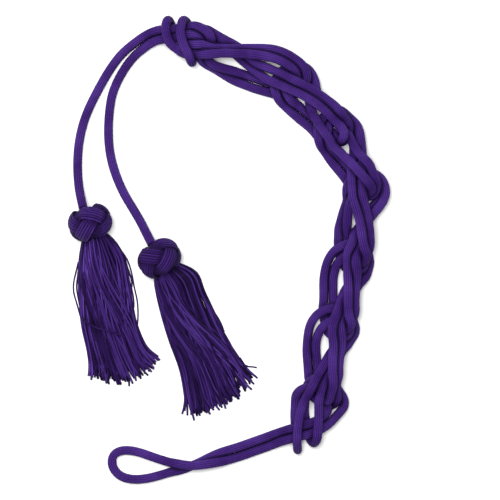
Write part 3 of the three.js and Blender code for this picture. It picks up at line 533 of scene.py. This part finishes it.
class Paint:
    """A material and its nodes."""

    def __init__(self, name, **sockets):
        self.material = bpy.data.materials.new(name)
        self.material.use_nodes = True
        self.nodes = self.material.node_tree.nodes
        self.links = self.material.node_tree.links
        self.shader = self.nodes["Principled BSDF"]
        for socket, value in sockets.items():
            self.shader.inputs[socket.replace("_", " ")].default_value = value

    def feed(self, socket, value):
        """Links a value to a socket, or writes a number, a colour or a vector into it."""
        if isinstance(value, Value):
            self.links.new(value.socket, socket)
        else:
            socket.default_value = value

    def node(self, kind, settings, *values, **named):
        """Makes a node, sets it up, feeds its sockets and gives back its first or named output."""
        node = self.nodes.new(kind)
        settings = dict(settings)
        output = settings.pop("output", 0)
        for name, value in settings.items():
            setattr(node, name, value)
        for key, value in [*enumerate(values), *named.items()]:
            self.feed(node.inputs[key.replace("_", " ") if isinstance(key, str) else key], value)
        return Value(self, node.outputs[output])

    def uv(self):
        return self.node("ShaderNodeUVMap", {"uv_map": "UVMap"})

    def place(self):
        return self.node("ShaderNodeTexCoord", {"output": "Object"})

    def attribute(self, name):
        return self.node("ShaderNodeAttribute", {"attribute_name": name, "output": "Fac"})

    def noise(self, where, scale, detail=2.0):
        settings = {"output": "Fac"}
        return self.node("ShaderNodeTexNoise", settings, Vector=where, Scale=scale, Detail=detail)

    def blend(self, share, first, second):
        """Mixes two colours, each a value or a tuple."""
        mixed = self.node("ShaderNodeMix", {"data_type": "RGBA", "output": MIX_OUTPUT})
        for index, value in zip(MIX_INPUTS, (share, first, second)):
            if isinstance(value, tuple):
                value = (*value, 1)
            self.feed(mixed.socket.node.inputs[index], value)
        return mixed

    def finish(self, colour, rough, height, depth):
        bump = self.node("ShaderNodeBump", {}, Height=height, Distance=depth, Strength=1.0)
        self.links.new(colour.socket, self.shader.inputs["Base Color"])
        self.links.new(rough.socket, self.shader.inputs["Roughness"])
        self.links.new(bump.socket, self.shader.inputs["Normal"])
        return self.material


def knit_material():
    """Columns of V stitches along the cord, lighter on the threads with painted shade in the grooves between
    them. The UV map holds millimetres along and turns around.
    """
    paint = Paint("knit_cord", Specular_IOR_Level=KNIT_SPECULAR)
    uv = paint.uv()
    column = (uv.part("Y") * WALES).fraction() - 0.5
    leg = abs(column) * 2
    rib = 1 - leg**3
    stitch = (uv.part("X") / STITCH + leg).fraction() * 2 - 1
    thread = 1 - stitch * stitch
    spine = (1 - leg * SPINE_THIN).most(0.0)
    fuzz = paint.noise(paint.place(), FUZZ_SCALE, KNIT_DETAIL)
    wear = paint.noise(paint.place(), WEAR_SCALE, KNIT_DETAIL)
    # Threads light and grooves between them dark: painted shade in the knit's grooves
    loops = rib * (LOOP_TONE + thread * (1 - LOOP_TONE)) * (1 - spine * SPINE_SHADE)
    colour = paint.blend(loops * LOOP_GAIN + fuzz * KNIT_FUZZ, DEEP, VIOLET)
    worn = ((wear - WEAR_FROM) * WEAR_GAIN).most(0.0).least(1.0)
    colour = paint.blend(worn * loops, colour, LIGHT)
    # Painted shade where strands touch and on sides that face down
    colour = paint.blend(paint.attribute("crease") * CREASE_SHADE, colour, DEEP)
    rough = KNIT_ROUGH + fuzz * ROUGH_FUZZ
    return paint.finish(colour, rough, loops + fuzz * BUMP_FUZZ, KNIT_BUMP)


def thread_material(name, twists, specular, rough):
    """Twisted yarn: slanting plies round a thin cord or string, whose UV map runs once round and along. Its
    colour has painted shade between the plies and the painted shade and light of the tone attribute.
    """
    paint = Paint(name, Specular_IOR_Level=specular)
    uv = paint.uv()
    ply = (uv.part("Y") * twists + uv.part("X") * PLIES).fraction() * 2 - 1
    round_ply = 1 - ply * ply
    tone = paint.attribute("tone")
    fuzz = paint.noise(paint.place(), YARN_FUZZ_SCALE)
    # Painted shade between the plies, and painted shade and light from the tone attribute
    shade = round_ply * PLY_SHARE + fuzz * YARN_FUZZ + tone * TONE_GAIN - TONE_OFFSET
    colour = paint.blend(shade.most(0.0).least(1.0), DEEP, VIOLET)
    colour = paint.blend((tone * LIGHT_GAIN - LIGHT_OFFSET).most(0.0).least(1.0), colour, LIGHT)
    return paint.finish(colour, rough + fuzz * YARN_FUZZ, round_ply + fuzz * YARN_FUZZ, YARN_BUMP)


# The cord's line, which is worked out as in the part's source
def chosen_points(strand):
    return [(x, y, level * CORD) for rows in strand.values() for x, y, level in rows]


def respace(line, step):
    """The same line with points at equal steps."""
    long = np.linalg.norm(np.diff(line, axis=0), axis=1)
    along = np.concatenate([[0], np.cumsum(long)])
    at = np.linspace(0, along[-1], int(round(along[-1] / step)) + 1)
    return np.stack([np.interp(at, along, line[:, k]) for k in range(3)], 1)


def smooth_line(points, step):
    """A centripetal Catmull-Rom curve through the points, at equal steps."""
    points = np.asarray(points, float)
    ends = np.vstack([2 * points[0] - points[1], points, 2 * points[-1] - points[-2]])
    pieces = []
    for p0, p1, p2, p3 in zip(ends, ends[1:], ends[2:], ends[3:]):
        t1 = np.linalg.norm(p1 - p0) ** 0.5
        t2 = t1 + np.linalg.norm(p2 - p1) ** 0.5
        t3 = t2 + np.linalg.norm(p3 - p2) ** 0.5
        t = np.linspace(t1, t2, CURVE_POINTS, endpoint=False)[:, None]
        a1 = (t1 - t) / t1 * p0 + t / t1 * p1
        a2 = (t2 - t) / (t2 - t1) * p1 + (t - t1) / (t2 - t1) * p2
        a3 = (t3 - t) / (t3 - t2) * p2 + (t - t2) / (t3 - t2) * p3
        b1 = (t2 - t) / t2 * a1 + t / t2 * a2
        b2 = (t3 - t) / (t3 - t1) * a2 + (t - t1) / (t3 - t1) * a3
        pieces.append((t2 - t) / (t2 - t1) * b1 + (t - t1) / (t2 - t1) * b2)
    return respace(np.vstack([*pieces, points[-1:]]), step)


def near_pairs(line, reach, skip):
    """Points nearer to each other than reach, at least skip places apart along the line."""
    apart = np.linalg.norm(line[:, None] - line[None], axis=2)
    return np.nonzero(np.triu(apart < reach, skip))


def keep_lengths(line, length, rules):
    for _ in range(rules["length_repeats"]):
        edge = np.diff(line, axis=0)
        long = np.linalg.norm(edge, axis=1)[:, None]
        edge *= rules["length_share"] * (long - length) / long
        line[1:-1] += edge[1:] - edge[:-1]


def push_apart(line, pairs, rules):
    first, second = pairs
    weight = np.array([rules["aside"], rules["aside"], rules["upwards"]])
    for _ in range(rules["push_repeats"]):
        away = line[second] - line[first]
        long = np.linalg.norm(away, axis=1)
        close = long < rules["clearance"]
        i, j, away, long = first[close], second[close], away[close], long[close]
        push = (0.5 * (rules["clearance"] - long) / long)[:, None] * away * weight
        moves = np.zeros_like(line)
        touches = np.zeros(len(line))
        np.add.at(moves, i, -push)
        np.add.at(moves, j, push)
        np.add.at(touches, i, 1)
        np.add.at(touches, j, 1)
        line += moves / np.maximum(touches, 1)[:, None] * rules["push_gain"]
        line[:, 2] = np.maximum(line[:, 2], CORD / 2)


def settle(line, rules):
    """Strands push each other apart until they only touch, and stay close to the chosen places."""
    chosen = line.copy()
    length = np.linalg.norm(line[1] - line[0])
    skip = math.ceil(math.pi * rules["clearance"] / 2 / length)
    pull = np.array([rules["home"], rules["home"], rules["home_height"]])
    for turn in range(rules["rounds"]):
        late = turn > rules["rounds"] * rules["late_from"]
        if turn % rules["pairs_every"] == 0:
            pairs = near_pairs(line, rules["clearance"] * rules["pairs_reach"], skip)
        if late:
            line[1:-1, 2] -= rules["fall"]
        else:
            line[1:-1] += pull * (chosen - line)[1:-1]
        share = rules["late_stiffness"] if late else rules["stiffness"]
        line[1:-1] += share * (0.5 * (line[:-2] + line[2:]) - line[1:-1])
        keep_lengths(line, length, rules)
        push_apart(line, pairs, rules)
    return line


def unit(vectors):
    return vectors / np.linalg.norm(vectors, axis=-1, keepdims=True)


def carried_frames(line):
    """Side and up vectors along a line, carried without twisting."""
    heading = unit(np.gradient(line, axis=0))
    side = unit(np.cross((0, 0, 1), heading[0]))
    sides = []
    for ahead in heading:
        side = unit(side - side.dot(ahead) * ahead)
        sides.append(side)
    sides = np.array(sides)
    return sides, np.cross(heading, sides)


# Meshes
def link(name, mesh):
    piece = bpy.data.objects.new(name, mesh)
    bpy.context.scene.collection.objects.link(piece)
    return piece


def ring_directions(turn, sides, ups):
    """Which way each corner of each ring points from the ring's centre."""
    angle = 2 * math.pi * turn
    return np.cos(angle)[None, :, None] * sides[:, None] + np.sin(angle)[None, :, None] * ups[:, None]


def point_attribute(mesh, name, values):
    attribute = mesh.attributes.new(name, "FLOAT", "POINT")
    attribute.data.foreach_set("value", values.ravel().astype(np.float32))


def fill_ends(bm):
    bmesh.ops.holes_fill(bm, edges=[edge for edge in bm.edges if edge.is_boundary], sides=0)


def tube(name, centres, sides, ups, radii, along, crease):
    """A grid rolled into a tube: a ring at each centre, with a radius for each of its corners."""
    rings, corners = radii.shape
    bm = bmesh.new()
    bmesh.ops.create_grid(bm, x_segments=corners, y_segments=rings - 1, size=0.5)
    mesh = bpy.data.meshes.new(name)
    bm.to_mesh(mesh)
    turn = np.arange(corners + 1) / corners
    wide = np.concatenate([radii, radii[:, :1]], 1)
    place = centres[:, None] + ring_directions(turn, sides, ups) * wide[:, :, None]
    mesh.vertices.foreach_set("co", (place * MM).ravel())
    point_attribute(mesh, "crease", np.concatenate([crease, crease[:, :1]], 1))
    corner_vertex = np.zeros(len(mesh.loops), int)
    mesh.loops.foreach_get("vertex_index", corner_vertex)
    ring, column = np.divmod(corner_vertex, corners + 1)
    layer = mesh.uv_layers.new(name="UVMap")
    layer.data.foreach_set("uv", np.stack([along[ring], turn[column]], 1).ravel())
    bm.clear()
    bm.from_mesh(mesh)
    bmesh.ops.remove_doubles(bm, verts=bm.verts, dist=WELD)
    fill_ends(bm)
    bmesh.ops.recalc_face_normals(bm, faces=bm.faces)
    for face in bm.faces:
        face.smooth = True
    bm.to_mesh(mesh)
    bm.free()
    return link(name, mesh)


def strings_mesh(lines, radius, tones_and_shades, outward, closed=False, fineness=1, scales=None):
    """Round strings of equally many points along the lines, as one mesh. A scale changes the radius of its
    string. The tone is given for each point, and painted shade darkens it on the sides of a string that face
    away from outward, which is the way out of the heap at each point."""
    curve = bpy.data.curves.new("strings", "CURVE")
    curve.dimensions = "3D"
    curve.bevel_depth = radius * MM
    curve.bevel_resolution = fineness
    for line, scale in zip(lines, scales or [1.0] * len(lines)):
        spline = curve.splines.new("POLY")
        spline.points.add(len(line) - 1)
        spline.points.foreach_set("radius", np.full(len(line), scale))
        spline.points.foreach_set("co", np.column_stack([line * MM, np.ones(len(line))]).ravel())
        spline.use_cyclic_u = closed
    holder = link("strings", curve)
    ready = holder.evaluated_get(bpy.context.evaluated_depsgraph_get())
    mesh = bpy.data.meshes.new_from_object(ready)
    bpy.data.objects.remove(holder)
    sides = len(mesh.vertices) // tones_and_shades.size
    place = np.zeros(len(mesh.vertices) * 3)
    mesh.vertices.foreach_get("co", place)
    away = place.reshape(-1, sides, 3) / MM - np.concatenate(lines)[:, None]
    facing = np.einsum("nsk,nk->ns", unit(away), outward.reshape(-1, 3))
    # Painted shade on the sides of a string that face away from outward
    lit = 1 - SIDE_SHADE * (1 - np.clip(facing, 0, 1) ** 2)
    point_attribute(mesh, "tone", np.clip(np.clip(tones_and_shades, 0, TONE_MOST).reshape(-1, 1) * lit, 0, 1))
    bm = bmesh.new()
    bm.from_mesh(mesh)
    fill_ends(bm)
    bm.to_mesh(mesh)
    bm.free()
    mesh.shade_smooth()
    return mesh


def buried(lines, cell, deep):
    """How far each point of a heap of strings lies below the heap's top there, from 0 to 1."""
    points = np.concatenate(lines)
    place = np.floor(points[:, :2] / cell).astype(int)
    place -= place.min(0)
    top = np.zeros(place.max(0) + 1)
    np.maximum.at(top, tuple(place.T), points[:, 2])
    below = top[tuple(place.T)] - points[:, 2]
    return np.clip(below / deep, 0, 1).reshape(len(lines), -1)


def softened(values, rounds, axis=0, wrap=False):
    """Values smoothed along the first axis, or along a ring that closes on itself."""
    for _ in range(rounds):
        if wrap:
            values = 0.5 * values + 0.25 * (np.roll(values, 1, axis) + np.roll(values, -1, axis))
        else:
            padded = np.concatenate([values[:1], values, values[-1:]])
            values = 0.5 * values + 0.25 * (padded[:-2] + padded[2:])
    return values


def room_and_lean(line, out, step):
    """For each corner of each ring, the room up to the plane midway to a neighbouring strand, and how
    much the corner leans on that neighbour, from 0 to 1."""
    skip = int(OWN_REACH / step)
    reach = 2 * PRESSED_RADIUS + TOUCH_MARGIN
    room = np.full(out.shape[:2], OPEN)
    lean = np.zeros(out.shape[:2])
    rows = np.arange(len(line))
    for i in range(len(line)):
        away = line - line[i]
        apart = np.sqrt((away * away).sum(1))
        touching = (apart < reach) & (np.abs(rows - i) > skip)
        if touching.any():
            apart = apart[touching]
            facing = out[i] @ (away[touching] / apart[:, None]).T
            plane = (apart / 2 - HALF_GAP) / np.maximum(facing, LEAST_FACING)
            room[i] = np.where(facing > LEAST_FACING, plane, OPEN).min(1)
            towards = np.clip((facing - BULGE_FACING) / BULGE_BLEND, 0, 1)
            lean[i] = (towards * np.clip((BULGE_APART - apart) / BULGE_FADE, 0, 1)).max(1)
    return room, lean


def pressed_radii(line, sides, ups, step):
    """Radius and painted shade of each corner of each ring. Strands that touch are pressed flat along the
    plane midway between them and bulge towards it. They stay above the surface and fold in tight bends."""
    out = ring_directions(np.arange(SIDES) / SIDES, sides, ups)
    room, lean = room_and_lean(line, out, step)
    down = -out[:, :, 2]
    above = (line[:, 2, None] - FLOOR_GAP) / np.maximum(down, LEAST_DOWN)
    below = np.where(down > LEAST_DOWN, above, OPEN)
    bend = np.gradient(np.gradient(line, axis=0), axis=0) / step**2
    inward = np.einsum("nk,nsk->ns", bend, out)
    inside = np.where(inward > LEAST_BEND, BEND_FILL / np.maximum(inward, LEAST_BEND), OPEN)
    free = ROUND_RADIUS + (PRESSED_RADIUS - ROUND_RADIUS) * softened(lean, BULGE_ROUNDS)
    radii = (free**-BLEND_POWER + room**-BLEND_POWER) ** (-1 / BLEND_POWER)
    radii = softened(softened(radii, rounds=2), rounds=1, axis=1, wrap=True)
    radii = np.minimum(radii, np.minimum(room, np.minimum(below, inside)))
    # Painted shade: darker where another strand comes near, and on sides that face down
    crease = np.clip(1 - (room - free) / CREASE_REACH, 0, 1)
    crease = np.maximum(crease, UNDER_SHADE * np.clip(UNDER_FROM + down, 0, 1))
    return softened(radii, rounds=1), softened(crease, rounds=1)


def make_cord():
    """Makes the cord, and gives back how far its chosen points are moved to lie in the row's frame."""
    points = chosen_points(LEFT_STRAND) + chosen_points(RIGHT_STRAND)[::-1]
    settled = settle(smooth_line(points, LINE_STEP), SETTLING)
    tubes = [*LEFT_STRAND, *RIGHT_STRAND]
    low = np.min([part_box(name)[0] for name in tubes], axis=0)
    high = np.max([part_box(name)[1] for name in tubes], axis=0)
    shift = (low + high) / 2 / MM - (settled.min(0) + settled.max(0)) / 2
    shift[2] = 0
    line = softened(smooth_line(settled + shift, RING_STEP), rounds=2)
    sides, ups = carried_frames(line)
    step = np.linalg.norm(line[1] - line[0])
    radii, crease = pressed_radii(line, sides, ups, step)
    turn = 2 * math.pi * np.arange(SIDES) / SIDES
    radii = radii - RIB * np.cos(WALES * turn)[None]
    along = np.arange(len(line)) * step
    cord = tube("knit_cord", line, sides, ups, radii, along, crease)
    cord.data.materials.append(knit_material())
    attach(cord, "root")
    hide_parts(*tubes)
    tuple(line[0] * MM)
    [tuple(point) for point in line * MM]
    return shift


# Tassels
def knot_basis(tassel):
    """Rows that turn a ball's across, along and up into the frame's X, Y and Z."""
    axis = unit(np.array([*tassel["axis"], 0.0]))
    return np.array([np.cross((0, 0, 1), axis), axis, (0, 0, 1.0)])


def knot_lines(tassel, middle, basis, squash):
    """The thin cords of a ball knot: passes side by side round a woven path, over and under itself."""
    angle = 2 * math.pi * np.arange(KNOT_POINTS) / KNOT_POINTS
    tilt = KNOT_TILT * np.cos(KNOT_BIGHTS * angle)
    around = KNOT_TURNS * angle + tassel["phase"]
    out = np.column_stack([np.cos(tilt) * np.cos(around), np.sin(tilt), np.cos(tilt) * np.sin(around)])
    over = 0.5 - 0.5 * np.tanh(KNOT_STEEP * np.sin(2 * KNOT_BIGHTS * angle))
    heading = unit(np.roll(out, -1, 0) - np.roll(out, 1, 0))
    aside = np.cross(out, heading)
    lines = []
    tones_and_shades = []
    outward = []
    for index in range(KNOT_PASSES):
        offset = (index - (KNOT_PASSES - 1) / 2) * KNOT_PITCH
        direction = unit(out + aside * offset / (KNOT_WIDTH / 2))
        crown = KNOT_CROWN * (2 * offset / (KNOT_PASSES * KNOT_PITCH)) ** 2
        radius = KNOT_WIDTH / 2 - KNOT_THREAD - KNOT_LIFT * (1 - over) - crown
        line = middle + (direction * radius[:, None] * squash) @ basis
        line[:, 2] = np.maximum(line[:, 2], KNOT_THREAD)
        lines.append(line)
        # Painted light on a band that lies on top, painted shade at a band's edges
        tones_and_shades.append(KNOT_TONE + KNOT_LIGHT_OVER * over - KNOT_SHADE_CROWN * crown)
        outward.append(direction @ basis)
    return lines, np.array(tones_and_shades), np.array(outward)


def make_knot(side, shift):
    """A ball of thin cords round a solid core, which fills the gaps between the bands."""
    tassel = TASSELS[side]
    rng = np.random.default_rng(tassel["seed"])
    middle = np.array([*tassel["knot"], KNOT_HEIGHT / 2 - KNOT_FLAT]) + shift
    basis = knot_basis(tassel)
    squash = np.array([KNOT_WIDTH, KNOT_HEIGHT, KNOT_HEIGHT]) / KNOT_WIDTH
    lines, tones_and_shades, outward = knot_lines(tassel, middle, basis, squash)
    tones_and_shades = tones_and_shades + rng.normal(0, KNOT_TONE_SPREAD, (len(lines), 1))
    strands = strings_mesh(lines, KNOT_THREAD, tones_and_shades, outward, closed=True, fineness=2)
    bm = bmesh.new()
    bm.from_mesh(strands)
    core_radius = KNOT_WIDTH / 2 - 2 * KNOT_THREAD - KNOT_LIFT
    segments = {"u_segments": CORE_SEGMENTS, "v_segments": CORE_RINGS}
    core = bmesh.ops.create_uvsphere(bm, radius=core_radius * MM, **segments)["verts"]
    bmesh.ops.scale(bm, vec=Vector(squash), verts=core)
    turn = math.atan2(basis[0][1], basis[0][0])
    bmesh.ops.rotate(bm, matrix=Matrix.Rotation(turn, 3, "Z"), verts=core)
    bmesh.ops.translate(bm, vec=Vector(middle * MM), verts=core)
    bm.to_mesh(strands)
    bm.free()
    knot = link(f"{side}_ball_knot", strands)
    knot.data.shade_smooth()
    knot.data.materials.clear()
    knot_cord = thread_material(f"{side}_knot_cord", twists=160.0, specular=0.12, rough=0.5)
    knot.data.materials.append(knot_cord)
    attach(knot, "root")
    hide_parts(f"{side}_knot")


def fine_edge(rows):
    rows = np.array(rows, float)
    return smooth_line(np.column_stack([rows, np.zeros(len(rows))]), EDGE_STEP)[:, :2]


def edge_at(fine, share):
    """Points at shares of an edge's length. Past 1 it runs on straight."""
    count = len(fine) - 1
    place = np.stack([np.interp(share * count, np.arange(count + 1), fine[:, k]) for k in range(2)], 1)
    return place + np.maximum(share - 1, 0)[:, None] * count * (fine[-1] - fine[-2])


def eased(values):
    values = np.clip(values, 0, 1)
    return values * values * (3 - 2 * values)


def wave(rng, along, waves):
    """A wave along a string, with a random pace and start."""
    return np.sin(rng.uniform(*waves) * along + rng.uniform(*PHASES))


def string_line(tassel, edges, rng, centre, level, lift, spread, long):
    """One string. Its centre is where it lies between the fringe's edges, as a share of the width at
    each point, and its level is where it lies in the fringe's height. Lift and spread are how far it is
    moved up and aside from there, and long is its length as a share of the edges'."""
    along = np.linspace(0, 1, STRING_POINTS)
    reach = along * long
    left = edge_at(edges[0], reach)
    right = edge_at(edges[1], reach)
    width = np.linalg.norm(right - left, axis=1)
    curl = rng.uniform(*CURLS) * wave(rng, along, CURL_WAVES)
    across = np.clip(centre + (spread + curl) / width, -OVERHANG, 1 + OVERHANG)
    flat = left * (1 - across[:, None]) + right * across[:, None]
    down = unit((left + right)[-1] - (left + right)[-4])
    sag = tassel["belly"] * np.sin(math.pi * np.clip(across, 0, 1)) * reach**2
    sway = along * rng.normal(0, SWAY) * np.sin(rng.uniform(*SWAY_WAVES) * along)
    hook = rng.normal(0, HOOK) * np.clip((along - HOOK_FROM) / (1 - HOOK_FROM), 0, 1) ** 2
    flat = flat + sag[:, None] * down + (sway + hook)[:, None] * np.array([-down[1], down[0]])
    high = FRINGE_HIGH + (FRINGE_END - FRINGE_HIGH) * along**FRINGE_FALL
    dome = np.sqrt(np.clip(1 - (2 * across - 1) ** 2 * FRINGE_ROUND, FRINGE_LEAST, 1))
    rise = STRING + ((high - LOCK_HIGH - 2 * STRING) * level + lift) * dome
    rise = rise + RIPPLE * wave(rng, along, RIPPLE_WAVES)
    gathered = GATHER_SHARE + (1 - GATHER_SHARE) * eased(along / GATHER_LENGTH)[:, None]
    flat = tassel["knot"] + (flat - tassel["knot"]) * gathered
    return np.column_stack([flat, np.maximum(rise, STRING)])


def fringe_lines(tassel, rng):
    """Strings and their tones: an even bed, and locks on it, of which some sweep across on top."""
    edges = fine_edge(tassel["left_edge"]), fine_edge(tassel["right_edge"])
    along = np.linspace(0, 1, STRING_POINTS)
    lines = []
    tones_and_shades = []
    for index in range(BED):
        centre = np.full(STRING_POINTS, (index + 0.5) / BED)
        long = rng.normal(1.0, LENGTHS)
        level = rng.uniform(*BED_LEVELS)
        lines.append(string_line(tassel, edges, rng, centre, level, 0.0, 0.0, long))
        tones_and_shades.append(rng.normal(BED_TONE, BED_TONE_SPREAD))
    for lock in range(LOCKS):
        finish = (lock + rng.uniform(*LOCK_PLACES)) / LOCKS
        sweeping = lock % SWEEP_EVERY != 0 and finish > SWEEP_AFTER
        start = finish + rng.normal(0, LOCK_DRIFT)
        if sweeping:
            start = max(SWEEP_LEAST, finish - rng.uniform(*SWEEPS))
        begun = along - rng.uniform(*SWEEP_STARTS)
        centre = start + (finish - start) * eased(begun / rng.uniform(*SWEEP_LENGTHS))
        level = rng.uniform(*SWEEP_LEVELS) if sweeping else rng.uniform(*LOCK_LEVELS)
        lock_long = rng.normal(1.0, LOCK_LENGTHS)
        for _ in range(STRINGS_PER_LOCK):
            turn = rng.uniform(0, math.pi)
            spread = LOCK_HALF * (LOCK_START + along) * math.cos(turn)
            spread = spread + rng.normal(0, LOCK_SPLAY) * along**2
            lift = LOCK_HIGH * math.sin(turn) * rng.uniform(*LOCK_FILL)
            long = lock_long + rng.normal(0, LENGTHS)
            lines.append(string_line(tassel, edges, rng, centre, level, lift, spread, long))
            tones_and_shades.append(rng.uniform(*LOCK_TONES))
    return lines, tones_and_shades


def stray_line(points):
    """A loose string with as many points as the others."""
    line = smooth_line(points, STRAY_STEP)
    at = np.linspace(0, len(line) - 1, STRING_POINTS)
    return np.stack([np.interp(at, np.arange(len(line)), line[:, k]) for k in range(3)], 1)


def make_fringe(side, shift):
    tassel = TASSELS[side]
    rng = np.random.default_rng(tassel["seed"] + FRINGE_SEED)
    lines, tones_and_shades = fringe_lines(tassel, rng)
    scales = [1.0] * len(lines) + [STRAY / STRING] * len(tassel["strays"])
    for points in tassel["strays"]:
        lines.append(stray_line(points))
        tones_and_shades.append(STRAY_TONE)
    lines = [line + shift for line in lines]
    # Painted shade: strings deeper below the heap's top get darker
    deep = softened(buried(lines, HEAP_CELL, HEAP_DEEP).T, rounds=2).T
    tones_and_shades = np.clip(tones_and_shades, TONE_LEAST, TONE_MOST)[:, None] * (1 - deep)
    outward = np.tile((0, 0, 1.0), (len(lines), STRING_POINTS, 1))
    fringe = link(f"{side}_string_fringe", strings_mesh(lines, STRING, tones_and_shades, outward, scales=scales))
    fringe.data.materials.clear()
    fringe_string = thread_material(f"{side}_fringe_string", twists=90.0, specular=0.15, rough=0.45)
    fringe.data.materials.append(fringe_string)
    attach(fringe, "root")
    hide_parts(f"{side}_fringe")


def make_stage(shift):
    """The camera, the floor, a grey world and two lights."""
    camera = link("camera", bpy.data.cameras.new("camera"))
    camera.data.lens = LENS
    camera.data.sensor_width = SENSOR
    away = VIEW_WIDTH * camera.data.lens / camera.data.sensor_width
    camera.location = Vector((PHOTO_MIDDLE[0] + shift[0], PHOTO_MIDDLE[1] + shift[1], away + CORD)) * MM
    bpy.context.scene.camera = camera

    bm = bmesh.new()
    bmesh.ops.create_grid(bm, x_segments=1, y_segments=1, size=FLOOR_SIZE)
    mesh = bpy.data.meshes.new("floor")
    bm.to_mesh(mesh)
    bm.free()
    floor = link("floor", mesh)
    paper = Paint("paper", Base_Color=PAPER, Roughness=PAPER_ROUGH)
    mesh.materials.append(paper.material)

    world = bpy.data.worlds.new("studio")
    bpy.context.scene.world = world
    world.use_nodes = True
    background = world.node_tree.nodes["Background"]
    background.inputs["Color"].default_value = SKY
    background.inputs["Strength"].default_value = SKY_STRENGTH
    bpy.context.scene.view_settings.view_transform = "Standard"
    for name, (place, size, power) in LIGHTS.items():
        light = link(name, bpy.data.lights.new(name, "AREA"))
        light.data.size = size
        light.data.energy = power
        light.location = place
        light.rotation_euler = (-Vector(place)).to_track_quat("-Z", "Y").to_euler()


shift = make_cord()
make_stage(shift)
for side in TASSELS:
    make_knot(side, shift)
    make_fringe(side, shift)
